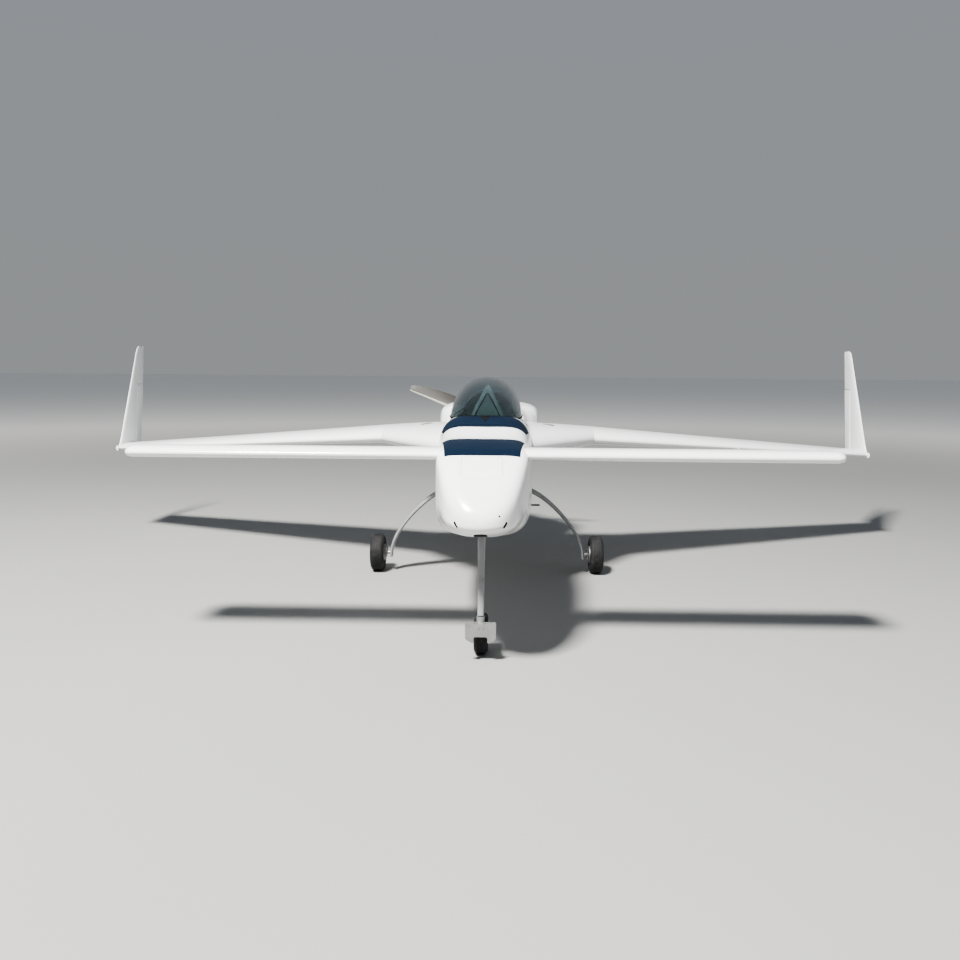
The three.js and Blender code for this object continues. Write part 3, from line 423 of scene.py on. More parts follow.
def fit(piece, name, body, slot, finish, *nodes, crease_deg=32):
    """Names a finished piece, gives it its finish and body, and hides the solids it stands for."""
    piece.name = name
    piece.data.materials.clear()
    piece.data.materials.append(finish)
    smooth(piece, crease_deg)
    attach(piece, body)
    if nodes:
        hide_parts(*nodes)


def gel_coat(name):
    """Sprayed white polyurethane over filler: glossy, a little wavy, faintly dusty."""
    paint = Finish(name, coat_weight=0.35, coat_roughness=0.06, specular_ior_level=0.5)
    cloudy = paint.noise(2.2, 4, 0.6)
    dust = paint.ramp(paint.noise(9, 6, 0.65), 0.55, 0.8)
    white = paint.blend(cloudy, (0.80, 0.805, 0.805), (0.86, 0.865, 0.865))
    paint.wear(roughness=0.2 + 0.12 * dust + 0.05 * cloudy)
    waves = paint.noise(5, 2) + paint.noise(420, 2) * 0.012
    paint.bump(waves, 0.0005, 0.4)
    return paint, paint.blend(dust * 0.35, white, (0.70, 0.69, 0.66))


paint, white = gel_coat("white_paint")
paint.wear(base_color=white)
WHITE = paint.material
WHITE_AIRFRAME = ("airframe", "white_gel_coat", WHITE)


def fit_white(piece, name, *nodes):
    """Fits the main part of a white piece of the airframe."""
    fit(main_part(piece), name, *WHITE_AIRFRAME, *nodes)


CANARD_HALF, CANARD_CHORD, CANARD_Z = 1912, 325, 1058
CANARD_THICK, CANARD_CAMBER = 0.2, 0.015


def aerofoil(thick, camber, count=40):
    """A wing section in fractions of its chord, from the leading edge over the top and back below."""
    x = (1 - np.cos(np.pi * np.arange(1, count) / count)) / 2
    half = 5 * thick * (0.2969 * np.sqrt(x) - 0.126 * x - 0.3516 * x**2 + 0.2843 * x**3 - 0.1015 * x**4)
    mean = 4 * camber * x * (1 - x)
    upper = np.column_stack([x, mean + half])
    lower = np.column_stack([x, mean - half])[::-1]
    return np.vstack([[0, 0], upper, [1, 0], lower])


def canard_solid(grow=0):
    outline = aerofoil(CANARD_THICK, CANARD_CAMBER)
    turns = np.radians([2, 12, 25, 38, 52, 66, 80, 90])
    tips = [(CANARD_HALF - 60 * (1 - math.sin(math.pi / 2 - t + math.radians(2))),
             0.30 + 0.70 * math.sin(t) ** 0.7) for t in turns]
    spans = [(-x, size) for x, size in tips] + [(x, 1.0) for x in np.linspace(-1500, 1500, 13)]
    spans += [(x, size) for x, size in reversed(tips)]
    rings = []
    for x, size in spans:
        length = CANARD_CHORD * size + 2 * grow
        front = CANARD_CHORD * (1 - size) / 2 - grow
        rings.append([(x, front + u * length, CANARD_Z + v * CANARD_CHORD * size * (1 + grow / 30))
                      for u, v in outline])
    return skin(rings)


HATCH = dict(half=105, front=-243, back=-66, corner=26)


def rounded(half, front, back, corner, radius, steps=9):
    """A rectangle's outline with arcs of a radius round the middles of its corners."""
    ring = []
    for cx, cy, start in ((half - corner, back - corner, 0), (-half + corner, back - corner, 90),
                          (-half + corner, front + corner, 180), (half - corner, front + corner, 270)):
        for turn in np.radians(np.linspace(start, start + 90, steps)):
            ring.append((cx + radius * math.cos(turn), cy + radius * math.sin(turn)))
    return ring


def rounded_prism(half, front, back, corner, low, high, grow=0):
    """An upright prism with a rounded rectangular plan."""
    ring = rounded(half, front, back, corner, corner + grow)
    return skin([[(x, s, z) for x, s in ring] for z in (low, high)])


def chin_slot(side):
    """A capsule that leans outwards at its top, for the air slot on one side of the chin."""
    aim = Vector((side * 0.72, -0.69, 0)).normalized()
    up = Vector((side * 0.40, 0.42, 0.86))
    up = (up - aim * up.dot(aim)).normalized()
    across = aim.cross(up)
    middle = Vector((side * 121, -377, 757))
    half_width, half_length = 6.5, 18
    ring = []
    for end in (1, -1):
        for turn in np.radians(np.linspace(0, 180, 9)):
            ring.append(across * (half_width * math.cos(turn) * end)
                        + up * (end * (half_length - half_width + half_width * math.sin(turn))))
    return skin([[tuple(middle + aim * depth + p) for p in ring] for depth in (-40, 30)])


def square_to(axis):
    """An axis at unit length and two directions square to it."""
    axis = Vector(axis).normalized()
    across = axis.orthogonal().normalized()
    return axis, across, axis.cross(across)


def angles(count):
    """Angles evenly round a circle."""
    return np.linspace(0, 2 * np.pi, count, endpoint=False)


def circle(centre, across, over, radius, sides):
    return [tuple(centre + across * (radius * math.cos(t)) + over * (radius * math.sin(t)))
            for t in angles(sides)]


def rod(a, b, radius, end_radius=None, sides=32):
    """A round bar between two points given in millimetres by station."""
    a, b = Vector(a), Vector(b)
    _, across, over = square_to(b - a)
    return skin([circle(a, across, over, radius, sides),
                 circle(b, across, over, radius if end_radius is None else end_radius, sides)])


def nose_solid():
    outer = hull(BODY, NOSE_STATION, DECK_START, 0, 12)
    inner = hull(BODY, -330, DECK_START + 20, -NOSE_SKIN, 40, 64)
    return cut(outer, inner)


def inside(table, depth, x, station, z):
    """Whether a point lies deeper than a depth in a body, lengthwise too."""
    for s in (station - depth, station + depth):
        if not table[0][0] <= s <= table[-1][0]:
            return False
        _, half, low, wide, high, low_power, high_power = hull_row(table, s)
        reach, power = (high - wide, high_power) if z > wide else (wide - low, low_power)
        across, up = abs(x) / max(half - depth, 1), abs(z - wide) / max(reach - depth, 1)
        if across > 1 or up > 1 or across**power + up**power > 1:
            return False
    return True


def interior(piece, finish, *bodies):
    """Gives a finish to the faces whose largest triangle lies deep enough in any of the bodies."""
    mesh = piece.data
    mesh.materials.append(finish)
    mesh.calc_loop_triangles()
    largest = {}
    for triangle in mesh.loop_triangles:
        if triangle.area > largest.get(triangle.polygon_index, (-1,))[0]:
            largest[triangle.polygon_index] = triangle.area, triangle.center * 1000
    for face, (_, (x, y, z)) in largest.items():
        if any(inside(table, depth, x, y + AFT_SHIFT * 1000, z) for table, depth in bodies):
            mesh.polygons[face].material_index = 1


# Near-black inside of the nose: painted shade, seen through the chin slots, the leg slot and round the hatch.
inside_shade = clouded("nose_inside_painted_shade", 30, 4, (0.010, 0.010, 0.011), (0.022, 0.022, 0.023),
                 roughness=0.9, specular_ior_level=0.1)

COVER_START, COVER_LOW = -60, CANARD_Z + 2
nose = cut(nose_solid(), slab(COVER_START - 1, DECK_START + 1, COVER_LOW - GAP), canard_solid(1),
           rounded_prism(34, -392, 120, 33, 500, 760), chin_slot(1), chin_slot(-1),
           rod((92, -440, 803), (92, -350, 803), 5),
           rounded_prism(**HATCH, low=900, high=1200, grow=1.2))
fit_white(nose, "nose_moulding", "nose_shell", "footwell_shell")
interior(nose, inside_shade.material, (BODY, 3))
# A near-black sheet just inside the leg slot, round the strut: painted shade of the slot's hollow.
shade_sheet = cut(hull(BODY, -386, 114, -2.5, 12), hull(BODY, -384, 130, -6, 12))
keep(shade_sheet, rounded_prism(33, -390, 118, 32, 500, 760))
fit(shade_sheet, "strut_slot_shade_sheet", "airframe", "black_trim", inside_shade.material)
hatch = keep(nose_solid(), rounded_prism(**HATCH, low=900, high=1200))
fit_white(hatch, "nose_hatch")

# Canard: one straight foam-cored wing through the top of the nose, glassed and painted, with
# a slotted elevator on each side that turns on pins in its ends.
canard = canard_solid()
ELEVATOR = SimpleNamespace(hinge=250, radius=14, inner=282, outer=1806)
CLEAR = 5  # round pieces that move
room_front = ELEVATOR.hinge - ELEVATOR.radius - CLEAR
for side in (-1, 1):
    inner, outer = sorted((side * -1, side * (ELEVATOR.outer + CLEAR)))
    cut(canard, block(inner, outer, room_front, 420, 900, 1200))
fit_white(canard, "canard_wing", "canard")


def control_ring(radius, chord, edge=1.5, steps=12):
    """A control surface's section round its hinge: a rounded nose, straight to a thin edge."""
    turns = np.pi / 2 * (np.arange(steps + 1) - steps) / steps
    front = [(math.sin(t) * radius, math.cos(t) * radius) for t in turns[1:]]
    top = [(-radius, 0.0), *front, (chord, edge)]
    return np.array(top + [(chord, 0.0)] + [(u, -v) for u, v in top[:0:-1]])


def hinge_frame(a, b, up):
    """The ways aft and up, square to a hinge line."""
    along = (b - a).normalized()
    aft = (Vector((0, 1, 0)) - along * along.y).normalized()
    over = Vector(up)
    return aft, (over - along * over.dot(along) - aft * over.dot(aft)).normalized()


def control(a, b, radii, chords, up):
    """A control surface between two hinge ends, square to its hinge line."""
    a, b = Vector(a), Vector(b)
    aft, over = hinge_frame(a, b, up)
    rings = []
    for t in np.linspace(0, 1, 9):
        centre = a.lerp(b, t)
        radius, chord = (1 - t) * radii[0] + t * radii[1], (1 - t) * chords[0] + t * chords[1]
        rings.append([tuple(centre + aft * u + over * v) for u, v in control_ring(radius, chord)])
    return skin(rings)


SIDES = (1, "port"), (-1, "starboard")
for side, name in SIDES:
    ends = [(side * x, ELEVATOR.hinge, CANARD_Z + 3) for x in (ELEVATOR.inner, ELEVATOR.outer)]
    chord = CANARD_CHORD - ELEVATOR.hinge
    elevator = control(*ends, (ELEVATOR.radius,) * 2, (chord,) * 2, (0, 0, 1))
    weld(elevator, rod((side * 222, ELEVATOR.hinge, CANARD_Z + 3),
                       (side * 1830, ELEVATOR.hinge, CANARD_Z + 3), 7))
    fit(elevator, f"elevator_{name}_skin", f"elevator_{name}", "white_gel_coat", WHITE, f"elevator_{name}")

# Canard cover: a thin removable lid over the canard's middle, held by countersunk screws, with
# the dark blue stripe sprayed across it.
COVER_SCREWS = (20, 110, 200, 290, 340)
STRIPE = dict(front=-0.060, back=0.285, front_half=0.197, back_half=0.229)
NAVY_LOW, NAVY_HIGH = (0.0035, 0.0085, 0.019), (0.006, 0.0135, 0.028)


def navy(paint):
    """Dark blue topcoat, slightly chalky in clouds."""
    return paint.blend(paint.noise(14, 5, 0.6), NAVY_LOW, NAVY_HIGH)


def two_tone(name, mask):
    """White paint with dark blue over it where a mask of (x, station, z) in metres is 1."""
    paint, white = gel_coat(name)
    area = mask(paint.x, paint.y + AFT_SHIFT, paint.z)
    paint.wear(base_color=white).over(area, navy(paint), roughness=0.4, specular=0.07)
    return paint.material


def stripe(x, station, z):
    widening = (STRIPE["back_half"] - STRIPE["front_half"]) / (STRIPE["back"] - STRIPE["front"])
    half_width = STRIPE["front_half"] + (station - STRIPE["front"]) * widening
    return (abs(x) < half_width) * (station > STRIPE["front"]) * (station < STRIPE["back"])


cover = hull(BODY, COVER_START, DECK_START - 2, 0, 12)
cover_hollow = keep(hull(BODY, 260, DECK_START + 20, -THIN_SKIN, 40), slab(270, 500, 900))
keep(cover, slab(COVER_START, DECK_START - 2, COVER_LOW))
cut(cover, cover_hollow, canard_solid(1))
fit(main_part(cover), "canard_cover_lid", "airframe", "navy_paint", two_tone("cover_paint", stripe),
    "canard_cover")

ARC = 360  # steps along one side of a finely divided section


def hull_surface(table, station, z=None, x=None, side=1):
    """A point on a body and the way it faces, at a station and a height or a half width."""
    ring = hull_ring(hull_row(table, station), 0, 2 * ARC)
    half = ring[:ARC + 1] if side > 0 else ring[ARC:][::-1]
    if z is not None:
        order = np.argsort(half[:, 2])
        px, pz = np.interp(z, half[order, 2], half[order, 0]), z
    else:
        upper = half[half[:, 2] > hull_row(table, station)[3]]
        order = np.argsort(upper[:, 0])
        px, pz = x, np.interp(x, upper[order, 0], upper[order, 2])
    near = np.argmin(np.hypot(half[:, 0] - px, half[:, 2] - pz))
    tangent = half[min(near + 1, ARC)] - half[max(near - 1, 0)]
    facing = Vector((-tangent[2], 0, tangent[0])).normalized()
    if facing.dot(Vector((px, 0, pz - hull_row(table, station)[3]))) < 0:
        facing.negate()
    return (px, station, pz), facing


def screw_tree():
    """A Geometry Nodes tree that sets one countersunk screw head on each point of a mesh, turned
    to the point's own facing, its recess at a random angle."""
    tree = bpy.data.node_groups.new("screw_heads", "GeometryNodeTree")
    for name, kind, way in (("Geometry", "Geometry", "INPUT"), ("Head radius", "Float", "INPUT"),
                            ("Head height", "Float", "INPUT"), ("Seed", "Int", "INPUT"),
                            ("Finish", "Material", "INPUT"), ("Geometry", "Geometry", "OUTPUT")):
        tree.interface.new_socket(name, in_out=way, socket_type=f"NodeSocket{kind}")

    def node(kind, links=(), **settings):
        made = tree.nodes.new(kind)
        for key, value in settings.items():
            if hasattr(made, key):
                setattr(made, key, value)
            else:
                made.inputs[key.replace("_", " ")].default_value = value
        for source, target in links:
            tree.links.new(source, made.inputs[target])
        return made

    def share(source, factor):
        made = node("ShaderNodeMath", [(source, 0)], operation="MULTIPLY")
        made.inputs[1].default_value = factor
        return made.outputs[0]

    given = node("NodeGroupInput").outputs
    radius, depth = given["Head radius"], given["Head height"]
    head = node("GeometryNodeMeshCone", [
        (radius, "Radius Bottom"), (share(radius, 0.82), "Radius Top"), (depth, "Depth")],
        Vertices=12, Side_Segments=1, fill_type="NGON")
    recess = node("GeometryNodeMeshCone", [
        (share(radius, 0.30), "Radius Bottom"), (share(radius, 0.42), "Radius Top"), (depth, "Depth")],
        Vertices=4, fill_type="NGON")
    lift = node("ShaderNodeCombineXYZ", [(share(depth, 0.4), "Z")])
    raised = node("GeometryNodeTransform", [
        (recess.outputs["Mesh"], "Geometry"), (lift.outputs[0], "Translation")])
    sunk = node("GeometryNodeMeshBoolean", [(head.outputs["Mesh"], "Mesh 1"), (raised.outputs[0], "Mesh 2")],
                operation="DIFFERENCE")
    facing = node("GeometryNodeInputNamedAttribute", data_type="FLOAT_VECTOR", Name="facing")
    turn = node("FunctionNodeAlignRotationToVector", [(facing.outputs["Attribute"], "Vector")], axis="Z")
    spin = node("FunctionNodeRandomValue", [(given["Seed"], "Seed")], data_type="FLOAT")
    spin.inputs[3].default_value = math.pi
    local = node("FunctionNodeAxisAngleToRotation", [(spin.outputs[1], "Angle")], Axis=(0, 0, 1))
    both = node("FunctionNodeRotateRotation", [
        (turn.outputs[0], "Rotation"), (local.outputs[0], "Rotate By")], rotation_space="LOCAL")
    heads = node("GeometryNodeInstanceOnPoints", [
        (given["Geometry"], "Points"), (sunk.outputs[0], "Instance"), (both.outputs[0], "Rotation")])
    solid = node("GeometryNodeRealizeInstances", [(heads.outputs[0], "Geometry")])
    done = node("GeometryNodeSetMaterial", [(solid.outputs[0], "Geometry"), (given["Finish"], "Material")])
    node("NodeGroupOutput", [(done.outputs[0], "Geometry")])
    return tree


SCREW_TREE = screw_tree()
zinc = clouded("screw_zinc", 900, 3, (0.30, 0.30, 0.31), (0.46, 0.46, 0.47), metallic=1.0,
               specular_ior_level=0.5)
zinc.wear(roughness=0.32 + 0.2 * zinc.noise(1400, 2))


def screws(name, body, spots, radius=0.0032, height=0.0016, seed=3):
    """Screw heads on a list of (point by station, facing), as one piece."""
    mesh = bpy.data.meshes.new(name)
    mesh.from_pydata([tuple(metres([p])[0]) for p, _ in spots], [], [])
    facing = mesh.attributes.new("facing", "FLOAT_VECTOR", "POINT")
    facing.data.foreach_set("vector", np.array([tuple(f) for _, f in spots], np.float32).ravel())
    piece = placed(name, mesh)
    maker = piece.modifiers.new("screws", "NODES")
    maker.node_group = SCREW_TREE
    given = {"Head radius": radius, "Head height": height, "Seed": seed, "Finish": zinc.material}
    for item in SCREW_TREE.interface.items_tree:
        if item.in_out == "INPUT" and item.name in given:
            maker[item.identifier] = given[item.name]
    applied(piece)
    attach(piece, body)
    return piece


screws("cover_screws", "airframe",
       [hull_surface(BODY, s, z=COVER_LOW + 9, side=side) for s in COVER_SCREWS for side in (-1, 1)])

# Forward deck: the fixed skin between canard cover and canopy, over the front seat's feet. At its
# back begins the dark blue band that runs on over the front of the canopy frame.
DECK_LOW, CANOPY_START, CANOPY_END, RAIL = 1080, 610, 2660, 1130
BAND_FRONT, BAND_SWEEP = 0.556, 0.036 / 0.26**2

deck_paint = two_tone("deck_paint", lambda x, station, z: station > BAND_FRONT + BAND_SWEEP * x * x)
deck = hull(BODY, DECK_START + GAP, CANOPY_START - CLEAR - GAP, 0, 12)
keep(deck, slab(0, CANOPY_START, DECK_LOW + GAP))
cut(deck, hull(BODY, DECK_START - 40, CANOPY_START + 40, -THIN_SKIN, 30))
fit(main_part(deck), "forward_deck_skin", "airframe", "white_gel_coat", deck_paint, "forward_deck")

# Fuselage tub: foam sandwich sides and floor with rounded foam corners, glassed over in one,
# so no joint shows outside. Inside it is sprayed with flecked grey paint.
WALL = 24
GEAR_STATION = 1980
TUNNEL = (GEAR_STATION - 100, GEAR_STATION + 100)
FLOOR_SPLIT = 656
BRAKE = SimpleNamespace(front=1190, back=1570, half=180, top=577)

# Main gear bow from the middle outwards. Columns: x, z, chord along the body, thickness.
BOW = [
    (0, 693, 150, 34), (110, 687, 150, 34), (220, 664, 146, 34), (340, 612, 140, 32), (452, 538, 132, 30),
    (576, 415, 120, 27), (665, 290, 108, 25), (706, 190, 100, 24), (716, 112, 94, 24),
]


def squared(value, power):
    """A sine or cosine to a power, its sign kept, which squares a round section off."""
    return math.copysign(abs(value) ** power, value)


def around(rows, i):
    """The rows before and after one, or the end row itself."""
    return rows[max(i - 1, 0)], rows[min(i + 1, len(rows) - 1)]


def bow_rings(grow=0, parts=5):
    """Sections of the gear bow from the starboard end to the port end."""
    rows = [(-x, z, c, t) for x, z, c, t in BOW[:0:-1]] + BOW
    table = [(i, *row) for i, row in enumerate(rows)]
    places = [hull_row(table, s)[1:] for s in np.linspace(0, len(rows) - 1, parts * (len(rows) - 1) + 1)]
    rings = []
    for i, (x, z, chord, thick) in enumerate(places):
        behind, ahead = around(places, i)
        tangent = Vector((ahead[0] - behind[0], 0, ahead[1] - behind[1])).normalized()
        normal = Vector((-tangent.z, 0, tangent.x))
        ring = []
        for turn in angles(36):
            across = squared(math.cos(turn), 0.8) * (chord / 2 + grow)
            depth = squared(math.sin(turn), 0.8) * (thick / 2 + grow)
            ring.append((x + normal.x * depth, GEAR_STATION - across, z + normal.z * depth))
        rings.append(ring)
    return rings


def both(piece):
    """A piece and its mirror image on the other side."""
    mesh = piece.data.copy()
    mesh.transform(Matrix.Scale(-1, 4, (1, 0, 0)))
    mesh.flip_normals()
    return piece, placed(piece.name, mesh)


flecked = Finish("flecked_grey_paint", roughness=0.72)
flecks = flecked.ramp(flecked.noise(520, 2, 0.7), 0.56, 0.62)
flecked.wear(base_color=flecked.blend(flecks, (0.17, 0.175, 0.18), (0.36, 0.36, 0.355)))
flecked.bump(flecked.noise(300, 3), 0.0006, 0.5)

tub = hull(BODY, DECK_START + GAP, TUB_END, 0, 20)
tub_inside = hull(BODY, DECK_START - 40, TUB_END + 40, -WALL, 60, 72)
cut(tub, tub_inside,
    slab(0, 3000, RAIL - CLEAR / 2),
    slab(0, CANOPY_START - CLEAR, DECK_LOW),
    slab(*TUNNEL, high=FLOOR_SPLIT),
    block(-BRAKE.half - CLEAR, BRAKE.half + CLEAR, BRAKE.front - CLEAR, BRAKE.back + CLEAR,
          500, BRAKE.top + CLEAR),
    skin(bow_rings(GAP)))
ARMREST_TOP = 800
armrest = weld(block(196, 276, 800, 1300, 770, ARMREST_TOP),
               block(196, 276, 1300, 1560, 770, ARMREST_TOP + 12))
weld(tub, *both(armrest))
fit_white(tub, "fuselage_tub", "fuselage_floor", "fuselage_floor_rear", "fuselage_side_port",
          "fuselage_side_starboard")
interior(tub, flecked.material, (BODY, 12))

gear_cover = hull(BODY, TUNNEL[0] + GAP, TUNNEL[1] - GAP, 0, 12)
cut(gear_cover, hull(BODY, TUNNEL[0] - 40, TUNNEL[1] + 40, -WALL, 40, 72))
keep(gear_cover, slab(TUNNEL[0] + GAP, TUNNEL[1] - GAP, high=FLOOR_SPLIT - GAP))
cut(gear_cover, skin(bow_rings(GAP)))
fit_white(gear_cover, "gear_belly_cover", "gear_cover")
screws("gear_cover_screws", "airframe", [
    ((x, s, hull_row(BODY, s)[2] + 0.4), Vector((0, 0, -1)))
    for s in (TUNNEL[0] + 12, TUNNEL[1] - 12) for x in (-210, -105, 0, 105, 210)])

brake_plate = hull(BODY, BRAKE.front, BRAKE.back, 0, 20)
keep(brake_plate, block(-BRAKE.half, BRAKE.half, BRAKE.front, BRAKE.back, 500, BRAKE.top))
fit(brake_plate, "belly_brake_plate", "belly_brake", "white_gel_coat", WHITE, "belly_brake")

# Canopy: a blown acrylic bubble, tinted blue-green, bonded into a moulded frame that is white
# behind and dark blue in front. It hinges along its starboard rail.
GLASS_LOW = 1172
BUBBLE = [(station, half, 1150, wide, high, 2.2, 2.2) for station, half, wide, high in [
    (742, 60, 1176, 1196), (760, 118, 1176, 1230), (800, 164, 1178, 1262), (880, 203, 1180, 1308),
    (1000, 222, 1183, 1357), (1200, 232, 1186, 1412), (1450, 236, 1188, 1450), (1700, 235, 1188, 1461),
    (2000, 230, 1188, 1447), (2300, 221, 1188, 1408), (2642, 206, 1188, 1340), (2900, 190, 1186, 1272)]]
BUBBLE_START, BUBBLE_END = 742, 2642

acrylic = Finish("tinted_acrylic", base_color=(0.46, 0.60, 0.61, 1), roughness=0.02, ior=1.1,
                 transmission_weight=1.0, coat_weight=1.0, coat_roughness=0.02)
acrylic.bump(acrylic.noise(5, 2), 0.002, 0.12)
glass = hull(BUBBLE, BUBBLE_START, BUBBLE_END, 0, 16, FINE)
cut(glass, hull(BUBBLE, BUBBLE_START + 10, BUBBLE_END + 58, -4, 16, FINE))
keep(glass, slab(700, BUBBLE_END, GLASS_LOW))
fit(main_part(glass), "canopy_bubble", "canopy", "tinted_acrylic", acrylic.material, "canopy_glass")

BAND_BACK, BAND_SLANT = 0.80, 0.9
frame_paint = two_tone("canopy_frame_paint",
                       lambda x, station, z: station < BAND_BACK + BAND_SLANT * (z - 1.2))
frame_shell = hull(BODY, CANOPY_START, CANOPY_END, 0, 16)
weld(frame_shell, hull(BUBBLE, BUBBLE_END + GAP, CANOPY_END, 6, 16, FINE))
keep(frame_shell, slab(CANOPY_START, CANOPY_END, RAIL + CLEAR / 2))
nose_hollow = keep(hull(BODY, CANOPY_START - 40, 860, -THIN_SKIN, 30), slab(0, 790, 1000))
pocket = keep(hull(BODY, CANOPY_START - 40, CANOPY_END + 40, -22, 60),
              slab(500, 3000, 1000, GLASS_LOW - GAP))
cut(frame_shell, hull(BUBBLE, BUBBLE_START - 2, BUBBLE_END + GAP, GAP, 16, FINE),
    hull(BUBBLE, 800, 2900, -14, 40, FINE), nose_hollow, pocket)
fit(main_part(frame_shell), "canopy_frame_skin", "canopy", "white_gel_coat", frame_paint, "canopy_frame")
interior(frame_shell, flecked.material, (BODY, 6.2), (BUBBLE, -5.5))

# Strakes: the thick glass-skinned fuel tanks that run from the fuselage sides out to the wing
# joints, each with a round filler cap on top.
WING_ROOT, WING_TIP, WING_ROOT_EDGE, WING_CHORD, WING_ROOT_Z = 787, 3336, 1980, 900, 1000
WING_SWEEP, WING_TAPER, WING_DROP = 1404 / 2603, 450 / 2603, 221 / 2603
STRAKE = SimpleNamespace(inner=240, edge=1105, z=1004, thick=0.112, back=2880)


def fit_pair(piece, name, body, slot, finish, node):
    """Fits a port piece and its mirrored partner."""
    for made, (_, side) in zip(both(piece), SIDES):
        rider = body if body == "airframe" else f"{body}_{side}"
        fit(made, f"{name}_{side}", rider, slot, finish, f"{node}_{side}")


def strake_ring(x, grow=0):
    t = (x - STRAKE.inner) / (WING_ROOT - STRAKE.inner)
    edge = STRAKE.edge + (WING_ROOT_EDGE - STRAKE.edge) * t - grow
    z = STRAKE.z + (WING_ROOT_Z - STRAKE.z) * t
    chord = STRAKE.back - edge + grow
    thick = STRAKE.thick + (0.14 - STRAKE.thick) * t + 2 * grow / chord
    return [(x, edge + u * chord, z + v * chord) for u, v in aerofoil(thick, 0.02, 56)]


def strake_solid(grow=0):
    return skin([strake_ring(x, grow) for x in np.linspace(STRAKE.inner, WING_ROOT, 19)])


strake = cut(strake_solid(), hull(BODY, 300, TUB_END + 4, GAP, 20))
fit_pair(main_part(strake), "strake_skin", *WHITE_AIRFRAME, "strake")

# Outer wings: foam cores under glass skins, swept back and tapered, each with a short fence on
# its leading edge and an aileron slotted into its trailing edge.
FENCE_X = 2020
FENCE = [(-10, 4), (-13, -8), (-10, -24), (2, -38), (24, -46), (62, -48), (90, -42), (90, -10),
         (30, 6)]  # aft and up from the leading edge
AILERON = SimpleNamespace(inner=880, outer=2010, at=0.8, radii=(23, 17))
RUDDER = SimpleNamespace(station=3790, low=776, high=1345, radii=(15, 10), chord=140)
WINGLET_X, WINGLET_LEAN = 3360, 0.0633


def wing_place(x):
    """Leading edge station, chord and height of the wing at a distance from the middle."""
    out = x - WING_ROOT
    return WING_ROOT_EDGE + out * WING_SWEEP, WING_CHORD - out * WING_TAPER, WING_ROOT_Z - out * WING_DROP


def wing_ring(x):
    edge, chord, z = wing_place(x)
    thick = 0.14 - 0.025 * (x - WING_ROOT) / (WING_TIP - WING_ROOT)
    return [(x, edge + u * chord, z + v * chord) for u, v in aerofoil(thick, 0.02, 48)]


def beyond(a, b, extra):
    line = (b - a).normalized() * extra
    return a - line, b + line


def control_room(a, b, radius, chord, up, depth=90):
    """The slot that a control surface turns in, as a flat box square to its hinge line."""
    aft, over = hinge_frame(a, b, up)
    a, b = beyond(a, b, CLEAR)
    front = -(radius + CLEAR)
    corners = [a + aft * front, b + aft * front, b + aft * (chord + 60), a + aft * (chord + 60)]
    return skin([[tuple(c + over * side) for c in corners] for side in (-depth, depth)])


aileron_ends = []
for x in (AILERON.inner, AILERON.outer):
    edge, chord, z = wing_place(x)
    f = AILERON.at
    aileron_ends.append(Vector((x, edge + chord * f, z + 4 * 0.02 * f * (1 - f) * chord)))
aileron_aft, _ = hinge_frame(*aileron_ends, (0, 0, 1))
aileron_chords = []
for end in aileron_ends:
    edge, chord, _ = wing_place(end.x)
    share = aileron_aft.y - aileron_aft.x * (WING_SWEEP - WING_TAPER)
    aileron_chords.append((edge + chord - end.y) / share)

fence_edge, _, fence_z = wing_place(FENCE_X)
fence = skin([[(FENCE_X + out, fence_edge + aft, fence_z + up) for aft, up in FENCE] for out in (-2, 2)])
wing = skin([wing_ring(x) for x in np.linspace(WING_ROOT + GAP, WING_TIP, 41)])
cut(wing, control_room(*aileron_ends, AILERON.radii[0], aileron_chords[0], (0, 0, 1)),
    block(WINGLET_X - 32, WINGLET_X + 60, RUDDER.station - RUDDER.radii[0] - CLEAR - 3, 4000,
          RUDDER.low - CLEAR - 20, RUDDER.high))
weld(main_part(wing), fence)
fit_pair(wing, "outer_wing", *WHITE_AIRFRAME, "wing")

aileron = control(*aileron_ends, AILERON.radii, aileron_chords, (0, 0, 1))
weld(aileron, rod(*beyond(*aileron_ends, 26), 7))
fit_pair(aileron, "aileron_skin", "aileron", "white_gel_coat", WHITE, "aileron")

# Winglets: upright fins bonded to the wing tips, leaning in a little towards their tops, each
# with a rudder on its trailing edge that swings outwards only.
# Columns: z, leading edge station, chord, thickness over chord.
WINGLET = [
    (766, 3404, 526, 0.085), (794, 3412, 518, 0.083), (826, 3440, 490, 0.085), (873, 3462, 468, 0.090),
    (1175, 3575, 355, 0.092), (1636, 3748, 182, 0.092), (1681, 3770, 160, 0.085), (1700, 3800, 125, 0.060),
]
TIP_FAIRING = [(0, -14), (5, 20), (24, 70), (30, 200), (24, 330), (16, 420)]  # out, aft


def winglet_x(z):
    return WINGLET_X - (z - RUDDER.low) * WINGLET_LEAN


rows = np.array(WINGLET, float)
heights = np.unique(np.concatenate([rows[:, 0], np.linspace(900, 1636, 16)]))
winglet = skin([
    [(winglet_x(z) - v * np.interp(z, rows[:, 0], rows[:, 2]),
      np.interp(z, rows[:, 0], rows[:, 1]) + u * np.interp(z, rows[:, 0], rows[:, 2]), z)
     for u, v in aerofoil(np.interp(z, rows[:, 0], rows[:, 3]), 0)] for z in heights])
tip_edge, _, tip_z = wing_place(WING_TIP)
fairing_rings = []
for dz in np.linspace(-22, 22, 13):
    swell = math.sqrt(max(0.0, 1 - (dz / 23.5) ** 2))
    places = np.linspace(TIP_FAIRING[0][1], TIP_FAIRING[-1][1], 33)
    outs = [hull_row([(dy, dx) for dx, dy in TIP_FAIRING], s)[1] for s in places]
    outer = [(WING_TIP + GAP + (18 + dx) * swell + 0.5, tip_edge + dy, tip_z + dz)
             for dx, dy in zip(outs, places)]
    inner = [(WING_TIP + GAP, tip_edge + dy, tip_z + dz) for dy in places[::-1]]
    fairing_rings.append(outer + inner)
